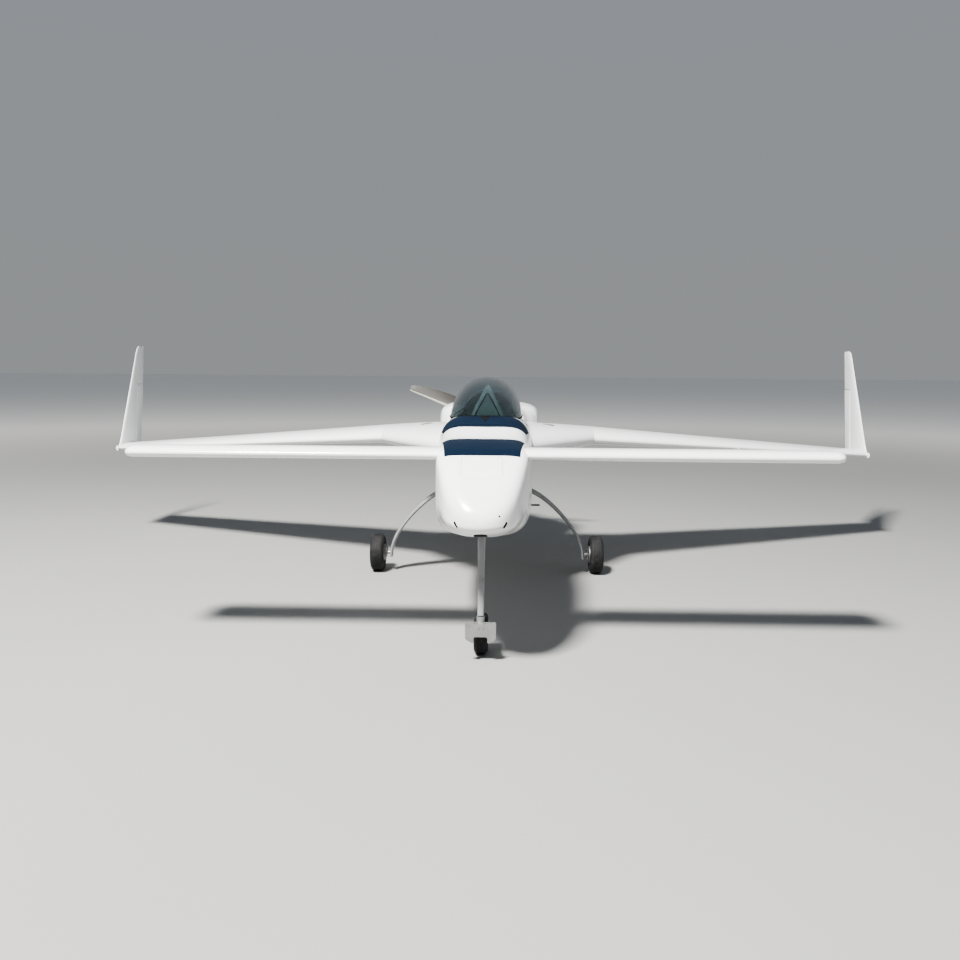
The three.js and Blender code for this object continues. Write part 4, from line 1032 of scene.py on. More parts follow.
rudder_ends = [Vector((winglet_x(z), RUDDER.station, z)) for z in (RUDDER.low, RUDDER.high)]
weld(winglet, skin(fairing_rings))
cut(winglet, block(WINGLET_X - 90, WINGLET_X + 90, RUDDER.station - RUDDER.radii[0] - CLEAR - 3, 4000,
                   600, RUDDER.high + CLEAR + 2), rod(*beyond(*rudder_ends, 28), 6))
fit_pair(main_part(winglet), "winglet_fin", *WHITE_AIRFRAME, "winglet")
rudder = control(*rudder_ends, RUDDER.radii, (RUDDER.chord,) * 2, (1, 0, 0))
weld(rudder, rod(*beyond(*rudder_ends, 22), 5))
fit_pair(rudder, "rudder_skin", "rudder", "white_gel_coat", WHITE, "rudder")

# Turtledeck: the fixed fairing behind the canopy that spreads the body out to the cowl, closed
# behind by its own wall. Its skin is as thin as the cowl's.
TURTLE = [
    (2665, 286, 690, 1010, 1238, 4, 3.5),
    (2760, 316, 694, 1014, 1235, 3.8, 3.8),
    (2840, 366, 700, 1020, 1231, 3.6, 4.3),
    (2898, 397, 704, 1030, 1230, 3.6, 4.6),
]
SHELL_THICK, CHEEK_SPLIT, TURTLE_END, CHEEK_END = 9, 1004, 2898, 2900
turtle = hull(TURTLE, CANOPY_END + CLEAR, TURTLE_END, 0, 10)
weld(turtle, hull(BUBBLE, CANOPY_END + CLEAR, TURTLE_END, 6, 16, FINE))
cut(turtle, hull(TURTLE, CANOPY_END - 40, TURTLE_END - SHELL_THICK, -SHELL_THICK, 20),
    hull(BUBBLE, CANOPY_END - 40, TURTLE_END - SHELL_THICK, -SHELL_THICK, 20, FINE))
cheek_room = cut(slab(2640, TURTLE_END, CHEEK_SPLIT + GAP, RAIL),
                 hull(BODY, 2400, CHEEK_END + 2, GAP * 3, 20))
keep(turtle, weld(slab(2600, TURTLE_END, RAIL - CLEAR / 2 + GAP), cheek_room))
cut(turtle, *both(strake_solid(1)))
fit_white(turtle, "turtledeck_fairing", "turtledeck")

# Engine cowl: two thin glass halves that meet on a level line, open behind round the spinner,
# with a scoop under the belly that feeds the engine, holes for the exhaust stacks, and the steel
# firewall ahead.
COWL = [
    (2899, 398, 704, 1030, 1230, 3.6, 4.6),
    (2990, 416, 700, 1030, 1236, 3.6, 4.6),
    (3140, 420, 706, 1034, 1239, 3.6, 4.4),
    (3300, 388, 742, 1044, 1236, 3.3, 3.8),
    (3450, 300, 816, 1058, 1226, 2.8, 3.2),
    (3560, 206, 888, 1068, 1212, 2.3, 2.5),
    (3640, 150, 925, 1070, 1210, 2, 2),
]
SCOOP = [
    (2610, 165, 588, 622, 672, 3, 3),
    (2760, 178, 596, 640, 704, 3, 3),
    (2960, 186, 640, 680, 730, 3, 3),
]
COWL_SPLIT, COWL_START, COWL_END = 1046, 2899, 3640
SCOOP_START, SCOOP_END = 2610, 2960
STACK_START, STACK_AIM = Vector((205, 3230, 948)), Vector((0, 0.86, -0.51)).normalized()
PROP = SimpleNamespace(station=3690, z=1070, tilt=19, spinner=128)


def cowl_shell():
    shell = hull(COWL, COWL_START, COWL_END, 0, 14, FINE)
    return cut(shell, hull(COWL, 2890, 3660, -SHELL_THICK, 30, 96))


def stack(length, radius):
    return rod(STACK_START, STACK_START + STACK_AIM * length, radius)


FIREWALL = 2892, 2897  # its front and back
firewall = skin([hull_ring((s, *hull_row(COWL, 2912)[1:]), -22) for s in FIREWALL])
steel = clouded("dull_steel", 30, 5, (0.30, 0.30, 0.31), (0.42, 0.42, 0.43), metallic=1.0)
steel.wear(roughness=0.3 + 0.25 * steel.noise(60, 4))
STEEL = steel.material
fit(firewall, "firewall_sheet", "airframe", "plain_steel", STEEL, "firewall")

upper = keep(cowl_shell(), slab(2000, 4000, COWL_SPLIT + GAP))
fit_white(upper, "upper_cowl_half", "upper_cowl")
cheeks = cut(hull(TURTLE, CANOPY_END + CLEAR, CHEEK_END, 0, 10, FINE),
             hull(TURTLE, CANOPY_END - 40, CHEEK_END + 1, -SHELL_THICK, 20, FINE),
             hull(BODY, 2400, CHEEK_END + 2, GAP * 3, 20), *both(strake_solid(1)))
keep(cheeks, slab(2640, CHEEK_END, high=CHEEK_SPLIT))
lower = weld(keep(cowl_shell(), slab(2000, 4000, high=COWL_SPLIT)), cheeks)
scoop_mouth = keep(hull(SCOOP, SCOOP_START, SCOOP_END, 0, 20), block(-300, 300, 2890, 2975, 500, 760))
cut(lower, *both(stack(400, 28)), scoop_mouth)
fit_white(lower, "lower_cowl_half", "lower_cowl")
scoop = cut(hull(SCOOP, SCOOP_START, SCOOP_END, 0, 14),
            hull(SCOOP, SCOOP_START - 10, SCOOP_END + 10, -14, 14),
            hull(BODY, 2300, 2900, GAP * 2, 20),
            slab(2880, 3000, high=900))
fit_white(scoop, "belly_scoop", "air_scoop")

# Engine: a flat four in bare cast alloy, with finned cylinders, two short exhaust stacks and a
# long propeller extension.
alloy = clouded("cast_alloy", 18, 5, (0.30, 0.30, 0.30), (0.50, 0.50, 0.49), (700, 2, 0.0004, 0.4),
                metallic=0.9)
alloy.wear(roughness=0.42 + 0.2 * alloy.noise(45, 4))
ALLOY = alloy.material
engine = block(-105, 105, 2970, 3370, PROP.z - 105, PROP.z + 95)
parts = [rod((0, 3360, PROP.z), (0, PROP.station - 62, PROP.z), 36),
         block(-60, 60, FIREWALL[1] + GAP, 2980, PROP.z - 50, PROP.z + 50)]
for side in (-1, 1):
    for station in (3050, 3220):
        s = station + side * 12
        parts.append(rod((side * 100, s, PROP.z), (side * 350, s, PROP.z), 50))
        parts += [rod((side * x, s, PROP.z), (side * (x + 6), s, PROP.z), 58) for x in range(130, 345, 18)]
    aim = Vector((side * STACK_START.x, STACK_START.y, STACK_START.z))
    parts.append(rod(aim, aim + STACK_AIM * 300, 22))
    parts.append(rod(aim, (aim.x, aim.y, PROP.z - 20), 22))
weld(engine, *parts)
fit(engine, "engine_and_stacks", "airframe", "bare_alloy", ALLOY, "engine_block")

# Propeller: two twisted blades carved in one with their hub from laminated wood, sealed grey
# brown, with a pale protective strip on each leading edge, and a white spinner over the hub.
# Columns: radius, chord, thickness, twist in degrees, leading edge sweep.
BLADE = [
    (60, 84, 44, 52, 0), (150, 112, 32, 44, 2), (300, 132, 22, 33, 8), (470, 124, 16, 25, 14),
    (640, 94, 11, 20, 16), (740, 70, 8, 17, 12), (785, 42, 5, 16, 8),
]


AXIS_SHARE = 0.42  # how far back in its chord a blade's axis lies


def tilted(piece):
    """Turns a piece about the propeller's axis to where the blades stopped."""
    centre = Vector(metres((0, PROP.station, PROP.z)))
    piece.data.transform(Matrix.Translation(centre) @ Matrix.Rotation(math.radians(PROP.tilt), 4, "Y")
                         @ Matrix.Translation(-centre))
    return piece


def blade_point(direction, r, across, depth, angle):
    y = across * math.sin(angle) + depth * math.cos(angle)
    side = across * math.cos(angle) - depth * math.sin(angle)
    return direction * r, PROP.station + y, PROP.z - direction * side


def blade(direction):
    rings = []
    outline = aerofoil(1, 0, 16)
    for r in np.unique(np.concatenate([[row[0] for row in BLADE], np.linspace(60, 785, 44)])):
        _, chord, thick, twist, sweep = hull_row(BLADE, r)
        angle = math.radians(twist)
        rings.append([blade_point(direction, r, (u - AXIS_SHARE) * chord + sweep, v * thick, angle)
                      for u, v in outline])
    return skin(rings)


wood = Finish("sealed_blade_wood", coat_weight=0.12, coat_roughness=0.3)
turned_back = wood.node("ShaderNodeVectorRotate", {"rotation_type": "Y_AXIS"}, Vector=wood.place,
                        Center=(0, 0, PROP.z / 1000), Angle=-math.radians(PROP.tilt))
along_blade = wood.node("ShaderNodeVectorMath", {"operation": "MULTIPLY"}, turned_back, (1.2, 60, 60))
grain = wood.noise(1.0, 4, 0.6, vector=along_blade)
wood.wear(base_color=wood.blend(grain, (0.022, 0.020, 0.017), (0.046, 0.042, 0.035)),
          roughness=0.38 + 0.15 * wood.noise(25, 3))
propeller = rod((0, PROP.station - 56, PROP.z), (0, PROP.station + 50, PROP.z), 74, sides=64)
weld(propeller, blade(1), blade(-1))
fit(tilted(propeller), "propeller_blades", "propeller", "blade_wood", wood.material, "propeller")

spinner_table = [(0, 168), (46, 150), (86, 104), (112, 46), (PROP.spinner, -52)]


def spun(profile, centre, axis, sides=96):
    """A solid of revolution from (radius, distance along the axis), its ends flat."""
    axis, across, over = square_to(axis)
    return skin([circle(Vector(centre) + axis * a, across, over, r, sides) for r, a in profile])


curve = [hull_row([(-a, r) for r, a in spinner_table], s) for s in np.linspace(-168, 52, 40)]
spinner = spun([(max(r, 0.3), -s) for s, r in curve], (0, PROP.station, PROP.z), (0, 1, 0))
cut(spinner, tilted(block(-300, 300, PROP.station - 70, PROP.station + 56, PROP.z - 62, PROP.z + 62)),
    rod((0, PROP.station - 60, PROP.z), (0, PROP.station + 52, PROP.z), 75, sides=64))
fit(main_part(spinner), "spinner_cone", "propeller", "white_gel_coat", WHITE, "spinner")

# Main gear: one bow of glass fibre painted grey, stub axles with brake plates bolted to its feet,
# spun alloy wheels with a brake disc inboard, and small grooved tyres.
MAIN = SimpleNamespace(x=815, station=GEAR_STATION, radius=140, width=100, rim=68)
NOSE = SimpleNamespace(x=0, station=-10, radius=110, width=76, rim=52)

grey = Finish("grey_gear_paint", coat_weight=0.2, coat_roughness=0.25)
grime = grey.ramp(grey.noise(16, 6, 0.65), 0.5, 0.75)
grey.wear(base_color=grey.blend(grime, (0.27, 0.275, 0.28), (0.17, 0.17, 0.165)),
          roughness=0.38 + 0.25 * grime)
grey.bump(grey.noise(380, 3), 0.0003, 0.4)
GREY = grey.material
fit(skin(bow_rings()), "gear_bow_leaf", "airframe", "grey_composite", GREY, "main_gear_bow")

rubber = Finish("tyre_rubber", specular_ior_level=0.35)
dusty = rubber.ramp(rubber.noise(22, 6, 0.7), 0.45, 0.75)
rubber.wear(base_color=rubber.blend(dusty, (0.012, 0.012, 0.013), (0.045, 0.043, 0.040)),
            roughness=0.72 + 0.2 * dusty)
rubber.bump(rubber.noise(900, 2), 0.0002, 0.5)
RUBBER = rubber.material
GROOVE_DEPTH = 3.5


def turned(profile, centre, axis, sides=96):
    """A ring turned round an axis from a closed profile of (radius, distance along the axis)."""
    axis, across, over = square_to(axis)
    points, faces, count = [], [], len(profile)
    for k in range(sides):
        turn = 2 * math.pi * k / sides
        out = across * math.cos(turn) + over * math.sin(turn)
        points += [tuple(Vector(centre) + out * r + axis * a) for r, a in profile]
        for i in range(count):
            j, n = (i + 1) % count, (k + 1) % sides
            faces.append((k * count + i, k * count + j, n * count + j, n * count + i))
    return piece_of(points, faces)


def tyre(wheel):
    """A tyre as a ring of revolution with four grooves round its tread."""
    half, wall = wheel.width / 2, wheel.radius - wheel.rim
    rim, radius = wheel.rim, wheel.radius
    side = [(rim + wall * rise, share) for rise, share in (
        (0, 0.62), (0.08, 0.74), (0.20, 0.90), (0.36, 0.985), (0.52, 1.0), (0.66, 0.975), (0.80, 0.88),
        (0.90, 0.76), (0.96, 0.62))] + [(radius - 0.8, 0.50)]
    tread = []
    for middle in (0.42, 0.14, -0.14, -0.42):
        r = radius - 1.2 * (abs(middle) / 0.42) ** 2
        bottom = r - GROOVE_DEPTH
        tread += [(r, middle + 0.045), (bottom, middle + 0.03), (bottom, middle - 0.03), (r, middle - 0.045)]
    profile = [(r, a * half) for r, a in [*side, *tread, *[(r, -a) for r, a in side[::-1]]]]
    centre = (wheel.x, wheel.station, wheel.radius)
    return turned(profile, centre, (1, 0, 0))


def wheel_rim(wheel, bore):
    """A spun wheel with its brake disc towards -X and six round holes through its web."""
    half, edge = wheel.width / 2, wheel.rim - GAP
    profile = [(r, share * half) for r, share in (
        (bore, -1.04), (edge - 4, -1.04), (edge - 4, -0.88), (bore + 18, -0.88), (bore + 16, -0.80),
        (bore + 16, -0.28), (bore + 19, -0.2), (edge - 2, -0.2), (edge, -0.16), (edge, 0.58),
        (edge - 2, 0.62), (edge - 7, 0.62), (edge - 9, 0.58), (edge - 11, 0.40), (bore + 22, 0.16),
        (bore + 15, 0.2), (bore + 13, 0.54), (bore + 10, 0.6), (bore, 0.6))]
    centre = Vector((wheel.x, wheel.station, wheel.radius))
    rim = turned(profile, centre, (1, 0, 0), 72)
    middle, hole = (bore + 18 + edge - 12) / 2, (edge - bore - 34) / 2 * 0.8
    for k in range(6):
        turn = math.radians(60 * k + 30)
        at = centre + Vector((0, math.cos(turn), math.sin(turn))) * middle
        cut(rim, rod(at + Vector((-half * 0.6, 0, 0)), at + Vector((half, 0, 0)), hole, sides=20))
    return rim


fit_pair(tyre(MAIN), "main_wheel_tyre", "main_wheel", "tyre_rubber", RUBBER, "main_tyre")
fit_pair(wheel_rim(MAIN, 12.6), "main_wheel_rim", "main_wheel", "bare_alloy", ALLOY, "main_rim")
axle_z = MAIN.radius
axle = rod((MAIN.x - 102, MAIN.station, axle_z), (MAIN.x + 36, MAIN.station, axle_z), 12)
inboard = MAIN.x - 66, MAIN.x - 58
weld(axle, block(*inboard, MAIN.station - 34, MAIN.station + 34, axle_z - 34, axle_z + 40),
     block(*inboard, MAIN.station + 20, MAIN.station + 78, axle_z - 24, axle_z + 30))
cut(axle, skin(bow_rings(GAP)))
fit_pair(main_part(axle), "axle_and_brake_plate", "airframe", "plain_steel", STEEL, "axle_and_brake")

# Nose gear: a slim leg that leans forward, a casting with a trailing fork that casters freely,
# the bolted alloy guard plate in front of the fork, and a small wheel.
CASTER = SimpleNamespace(station=-132, top=240, bottom=180)
STRUT = [  # station, z, half width, half depth
    (-132, 242, 17, 15), (-104, 380, 17, 16), (-66, 570, 19, 20), (-8, 860, 27, 24)]
strut_rings = []
for z in np.linspace(242, 860, 25):
    z, y, half_x, half_y = hull_row([(z, y, hx, hy) for y, z, hx, hy in STRUT], z)
    strut_rings.append([(half_x * squared(math.cos(t), 0.75), y + half_y * squared(math.sin(t), 0.75), z)
                        for t in angles(40)])
strut = skin(strut_rings)
weld(strut, rod((0, CASTER.station, CASTER.bottom + 4), (0, CASTER.station, CASTER.top + 12), 9))
fit(strut, "nose_leg", "airframe", "grey_composite", GREY, "nose_strut")

fork_front = CASTER.station - 26
arm = NOSE.width / 2 + 7
crown = arm + 9
fork = rod((0, CASTER.station, CASTER.bottom), (0, CASTER.station, CASTER.top - CLEAR), 20, sides=48)
weld(fork, block(-crown, crown, fork_front, fork_front + 20, CASTER.bottom, CASTER.bottom + 26),
     block(-20, 20, fork_front, CASTER.station, CASTER.bottom, CASTER.bottom + 26))
for side in (-1, 1):
    low, high = sorted((side * arm, side * crown))
    end_y, end_z = NOSE.station + 12, NOSE.radius
    sides = [(fork_front, CASTER.bottom + 26), (end_y, end_z + 18), (end_y, end_z - 14),
             (fork_front, CASTER.bottom)]
    weld(fork, skin([[(x, s, z) for s, z in sides] for x in (low, high)]))
weld(fork, rod((-crown, NOSE.station, NOSE.radius), (crown, NOSE.station, NOSE.radius), 8))
cut(fork, rod((0, CASTER.station, CASTER.bottom - 10), (0, CASTER.station, CASTER.top + 10), 9.8))
fit(main_part(fork), "nose_fork_casting", "nose_fork", "bare_alloy", ALLOY, "nose_fork")
fit(tyre(NOSE), "nose_wheel_tyre", "nose_wheel", "tyre_rubber", RUBBER, "nose_tyre")
fit(wheel_rim(NOSE, 8.6), "nose_wheel_rim", "nose_wheel", "bare_alloy", ALLOY, "nose_rim")

GUARD = SimpleNamespace(front=CASTER.station - 38, half=80, low=101, corner=121, high=215, slot=36,
                        slot_top=134)
half_outline = [(0, GUARD.high - 12)] + [
    (x, GUARD.high - 12 * math.cos(math.pi * x / 2 / 74)) for x in np.linspace(8, 74, 9)]
half_outline += [(GUARD.half, GUARD.high - 5), (GUARD.half, GUARD.corner + 6),
                 (GUARD.half - 5, GUARD.corner - 2), (GUARD.slot + 6, GUARD.low),
                 (GUARD.slot, GUARD.low + 4), (GUARD.slot, GUARD.slot_top - 6),
                 (GUARD.slot - 6, GUARD.slot_top)]
outline = half_outline + [(-x, z) for x, z in half_outline[:0:-1]]
guard = plate(outline, GUARD.front, GUARD.front + 4)
bolt_z = GUARD.high - 28
bolts = [rod((x, GUARD.front - 4.5, bolt_z), (x, GUARD.front + 1, bolt_z), 6.4, sides=6) for x in (-11, 11)]
washers = [rod((x, GUARD.front - 1.2, bolt_z), (x, GUARD.front + 1, bolt_z), 9, sides=28) for x in (-11, 11)]
weld(guard, block(-16, 16, GUARD.front + 2, fork_front - GAP, CASTER.bottom + 2, CASTER.bottom + 24),
     *bolts, *washers)
fit(guard, "fork_guard_plate", "nose_fork", "bare_alloy", ALLOY, "guard_plate")

# Boarding step: a short level bar out of the port side, turned in one with the thicker rubber
# sleeve near its end, so that both share one black finish.
STEP = SimpleNamespace(station=1450, z=588)
BLACK = clouded("black_sleeve", 60, 4, (0.012, 0.012, 0.013), (0.03, 0.03, 0.031), (500, 2, 0.0005, 0.5),
                roughness=0.6).material
step = spun([(5, 200), (5, 306), (6, 310), (6, 364), (5, 368)],
            (0, STEP.station, STEP.z), (1, 0, 0), 32)
cut(step, hull(BODY, 1300, 1600, GAP, 20))
fit(main_part(step), "boarding_step_bar", "airframe", "black_trim", BLACK, "boarding_step")

# Canopy seal and vent: a black rubber bead where the bubble meets its frame, and a small V-shaped
# air vent on the centre line just ahead of the bubble.
def tube(path, radius, sides=12, closed=False):
    """A round bead along points given by station in millimetres."""
    path = [Vector(p) for p in path]
    count, rings, across = len(path), [], None
    for i, p in enumerate(path):
        ahead = path[(i + 1) % count] if closed or i + 1 < count else p
        behind = path[i - 1] if closed or i else p
        along = (ahead - behind).normalized()
        across = along.orthogonal() if across is None else across - along * across.dot(along)
        across.normalize()
        over = along.cross(across)
        rings.append([tuple(p + (across * math.cos(t) + over * math.sin(t)) * radius) for t in angles(sides)])
    if not closed:
        return skin(rings)
    faces = []
    for r in range(count):
        n = (r + 1) % count
        faces += [(r * sides + i, r * sides + (i + 1) % sides, n * sides + (i + 1) % sides, n * sides + i)
                  for i in range(sides)]
    return piece_of(np.concatenate(rings), faces)


bead = clouded("black_sealant", 120, 3, (0.006, 0.006, 0.007), (0.016, 0.016, 0.017), roughness=0.85,
               specular_ior_level=0.02)
seal_path = []
for s in [*np.linspace(744, 800, 12), *np.linspace(830, BUBBLE_END - 4, 60)]:
    ring = hull_ring(hull_row(BUBBLE, s), 0.6, 2 * ARC)[:ARC + 1]
    order = np.argsort(ring[:, 2])
    z = hull_surface(BODY, s, x=min(hull_row(BUBBLE, s)[1], 200))[0][2] + 1.0
    seal_path.append((float(np.interp(z, ring[order, 2], ring[order, 0])), s, z))
seal = tube([(-x, s, z) for x, s, z in seal_path[::-1]] + seal_path, 5)
fit(seal, "canopy_seal", "canopy", "black_trim", bead.material)
vent = keep(hull(BODY, 640, 742, 1.6, 12),
            skin([[(-27, 740, z), (27, 740, z), (0, 648, z)] for z in (1150, 1300)]))
cut(vent, hull(BODY, 630, 750, -1.5, 12))
fit(main_part(vent), "canopy_vent", "canopy", "black_trim", bead.material)

# Instrument panel: an alloy sheet with a dark crackle finish, round dials with black bezels, a
# stack of three plain radio units and a row of switches below.
DIALS = [  # x, z, radius, needle in degrees from straight up
    (-172, 1066, 36, 210), (-91, 1072, 38, 92), (-6, 1072, 38, 305), (-172, 986, 36, 140),
    (-91, 988, 38, 0), (-6, 988, 38, 255), (66, 976, 25, 215), (124, 976, 25, 190), (182, 976, 25, 240)]
RADIOS = [(64, 204, z, z + 25) for z in (1016, 1044, 1072)]  # x, x, z, z
PANEL_FACE = 676


def eased(piece, width, segments=2, angle_deg=35):
    """Rounds a piece's sharp edges by a width in millimetres."""
    with edited(piece) as bm:
        sharp = [edge for edge in bm.edges
                 if len(edge.link_faces) == 2 and edge.calc_face_angle(0) > math.radians(angle_deg)]
        bmesh.ops.bevel(bm, geom=sharp, offset=width / 1000, segments=segments, affect="EDGES", profile=0.5,
                        clamp_overlap=True)
    return piece


crackle = clouded("crackle_black", 260, 3, (0.018, 0.019, 0.021), (0.045, 0.047, 0.050),
                  (900, 2, 0.7, 0.0008, 0.8), roughness=0.62)
panel = keep(hull(BODY, 660, PANEL_FACE, -WALL - 4, 16), slab(640, 700, 850, 1120))
cut(panel, *[rod((x, 640, 850), (x, 700, 850), 88, sides=48) for x in (-130, 130)],
    *[rod((x, PANEL_FACE - 8, z), (x, 700, z), radius - 4, sides=48) for x, z, radius, _ in DIALS])
fit(main_part(panel), "panel_sheet", "airframe", "panel_metal", crackle.material, "instrument_panel")

black = clouded("dial_black", 90, 3, (0.010, 0.010, 0.011), (0.022, 0.022, 0.023), roughness=0.4)
bezels = [turned([(r - 5, 0), (r, 0), (r, 3.2), (r - 1.2, 4.4), (r - 3.5, 4.4), (r - 5, 2.4)],
                 (x, PANEL_FACE, z), (0, 1, 0), 48) for x, z, r, _ in DIALS]
radios = [eased(block(x0, x1, PANEL_FACE, PANEL_FACE + 7, z0, z1), 1.2) for x0, x1, z0, z1 in RADIOS]
knobs = [spun([(8, 0), (8, 9), (6.6, 11), (0.3, 11.2)], (x, PANEL_FACE + 7, (z0 + z1) / 2), (0, 1, 0), 28)
         for x0, x1, z0, z1 in RADIOS for x in (x0 + 14, x1 - 14)]
fit(weld(bezels[0], *bezels[1:], *radios, *knobs), "dial_bezels", "airframe", "black_trim", black.material)

marks = Finish("dial_marks", roughness=0.3)
place = marks.node("ShaderNodeAttribute", {"attribute_name": "dial"}, output=None)
split = marks.node("ShaderNodeSeparateXYZ", {}, Wire(marks, place.outputs["Vector"]), output=None)
dial_x, dial_z = Wire(marks, split.outputs[0]), Wire(marks, split.outputs[2])
reach = marks.node("ShaderNodeMath", {"operation": "SQRT"}, dial_x * dial_x + dial_z * dial_z)
turn = marks.node("ShaderNodeMath", {"operation": "ARCTAN2"}, dial_x, dial_z) * (30 / (2 * math.pi))
part = marks.node("ShaderNodeMath", {"operation": "FRACT"}, turn)
tick = (abs(part - 0.5) > 0.38) * (reach > 0.72) * (reach < 0.9)
marks.wear(base_color=marks.blend(tick, (0.012, 0.012, 0.013), (0.72, 0.72, 0.70)))
points, polygons, values = [], [], []
for x, z, radius, _ in DIALS:
    first = len(points)
    for t in angles(48):
        points.append((x + (radius - 4.2) * math.sin(t), PANEL_FACE - 5, z + (radius - 4.2) * math.cos(t)))
        values.append((math.sin(t), 0, math.cos(t)))
    polygons.append(tuple(range(first, len(points)))[::-1])
dial_faces = piece_of(points, polygons)
spots = dial_faces.data.attributes.new("dial", "FLOAT_VECTOR", "POINT")
spots.data.foreach_set("vector", np.array(values, np.float32).ravel())
fit(dial_faces, "dial_faces", "airframe", "black_trim", marks.material)

needles = []
ivory = clouded("needle_white", 60, 2, (0.66, 0.65, 0.60), (0.80, 0.79, 0.75), roughness=0.5)
for x, z, radius, angle in DIALS:
    aim = Vector((math.sin(math.radians(angle)), 0, math.cos(math.radians(angle))))
    side = Vector((aim.z, 0, -aim.x))
    hub = Vector((x, PANEL_FACE - 4, z))
    tail = hub - aim * radius * 0.2
    shape = [tail - side * 1.6, hub + aim * radius * 0.66, tail + side * 1.6]
    needles.append(skin([[tuple(p + Vector((0, d, 0))) for p in shape] for d in (0, 0.8)]))
switches = [rod((x, PANEL_FACE, 948), (x, PANEL_FACE + 14, 952), 2.4, 3.2, 12) for x in range(-36, 37, 12)]
fit(weld(needles[0], *needles[1:], *switches), "needles_and_switches", "airframe", "plain_steel",
    ivory.material)

# Boards of both seats: foam glassed on both sides, rounded at their edges and sprayed with flecked
# grey paint. The rear one has a fixed pan.
FRONT_BACK = ((1250, 640), (1680, 1085), 188)
REAR_BACK = ((2212, 752), (2560, 1110), 232)
BOARD_THICK = 18


def lying(low, high):
    """Two (station, z) ends as points, the way along between them and the way their face looks."""
    low, high = Vector((0, *low)), Vector((0, *high))
    along = (high - low).normalized()
    return low, high, along, Vector((0, -along.z, along.y))


def board(low, high, half, thick, corner=34):
    """A flat board with rounded corners between two (station, z) ends."""
    low, high, along, face = lying(low, high)
    outline = rounded(half, 0, (high - low).length, corner, corner, 7)
    return skin([[tuple(low + Vector((x, 0, 0)) + along * y + face * d) for x, y in outline]
                 for d in (-thick / 2, thick / 2)])


fit(eased(board(*FRONT_BACK, BOARD_THICK), 5, 3), "front_seat_board", "airframe", "grey_composite",
    flecked.material, "front_seat_back")
rear_pan = block(-REAR_BACK[2], REAR_BACK[2], 1850, 2226, 744, 760)
rear_shell = weld(eased(board(*REAR_BACK, BOARD_THICK), 5, 3), eased(rear_pan, 5, 3))
fit(rear_shell, "rear_seat_board", "airframe", "grey_composite", flecked.material, "rear_seat_shell")

# Cushions and headrest: foam blocks in blue-grey woven cloth, crowned by the foam's push, with
# sewn channels across and a piped edge. They lie flat on their boards.
cloth = Finish("woven_seat_cloth", roughness=0.92, sheen_weight=0.25, sheen_roughness=0.5)
warp, weft = (cloth.node("ShaderNodeTexWave", {"bands_direction": way}, Vector=cloth.place, Scale=330.0,
                         Distortion=0.4) for way in "XZ")
weave = warp * 0.5 + weft * 0.5
cloth_tone = cloth.blend(cloth.noise(9, 4, 0.6), (0.125, 0.150, 0.155), (0.195, 0.225, 0.225))
cloth.wear(base_color=cloth.blend(weave * 0.5, cloth_tone, (0.085, 0.105, 0.112)))
cloth.bump(weave + cloth.noise(700, 2) * 0.5, 0.0006, 0.7)
rest_cloth = clouded("headrest_cloth", 14, 5, (0.36, 0.40, 0.39), (0.46, 0.50, 0.485),
                     (800, 3, 0.0005, 0.6), roughness=0.92, sheen_weight=0.25)
piping = clouded("black_piping", 300, 3, (0.012, 0.012, 0.013), (0.030, 0.030, 0.031),
                 (1200, 2, 0.0003, 0.6), roughness=0.85)

# Columns: name, low end (station, z), high end, half width, thickness, number of sewn channels.
CUSHIONS = [
    ("front_back_cushion", (1254, 712), (1596, 1066), 168, 48, 3),
    ("front_seat_cushion", (832, 635.5), (1158, 635.5), 178, 53, 3),
    ("rear_back_cushion", (2236, 876), (2496, 1116), 178, 48, 2),
    ("rear_seat_cushion", (1862, 790.5), (2138, 790.5), 188, 59, 2),
]
SWELL = 11  # how far the cloth may move out from its flat start
PAD_CORNER = 44


def swollen(pads, frames=20):
    """Steps Cloth with inside pressure on all pads at once and keeps what it makes of them."""
    for pad in pads:
        remesh = pad.modifiers.new("even", "REMESH")
        remesh.mode, remesh.voxel_size = "VOXEL", 0.006
        applied(pad)
    for pad in pads:
        swell = pad.modifiers.new("swell", "CLOTH")
        swell.settings.use_pressure = True
        swell.settings.uniform_pressure_force = 4
        swell.settings.effector_weights.gravity = 0
    for step in range(1, frames + 1):
        bpy.context.scene.frame_set(step)
    baked = [bpy.data.meshes.new_from_object(pad.evaluated_get(bpy.context.evaluated_depsgraph_get()))
             for pad in pads]
    for pad, made in zip(pads, baked):
        start, end = coordinates(pad.data), coordinates(made)
        way = end - start
        far = np.linalg.norm(way, axis=1, keepdims=True)
        end = start + way * np.minimum(1, SWELL / 1000 / np.maximum(far, 1e-9))
        made.vertices.foreach_set("co", end.ravel())
        pad.modifiers.clear()
        pad.data = made
    bpy.context.scene.frame_set(1)


def coordinates(mesh):
    flat = np.empty(len(mesh.vertices) * 3)
    mesh.vertices.foreach_get("co", flat)
    return flat.reshape(-1, 3)


def subdivided(piece):
    finer = piece.modifiers.new("finer", "SUBSURF")
    finer.levels = 1
    return applied(piece)


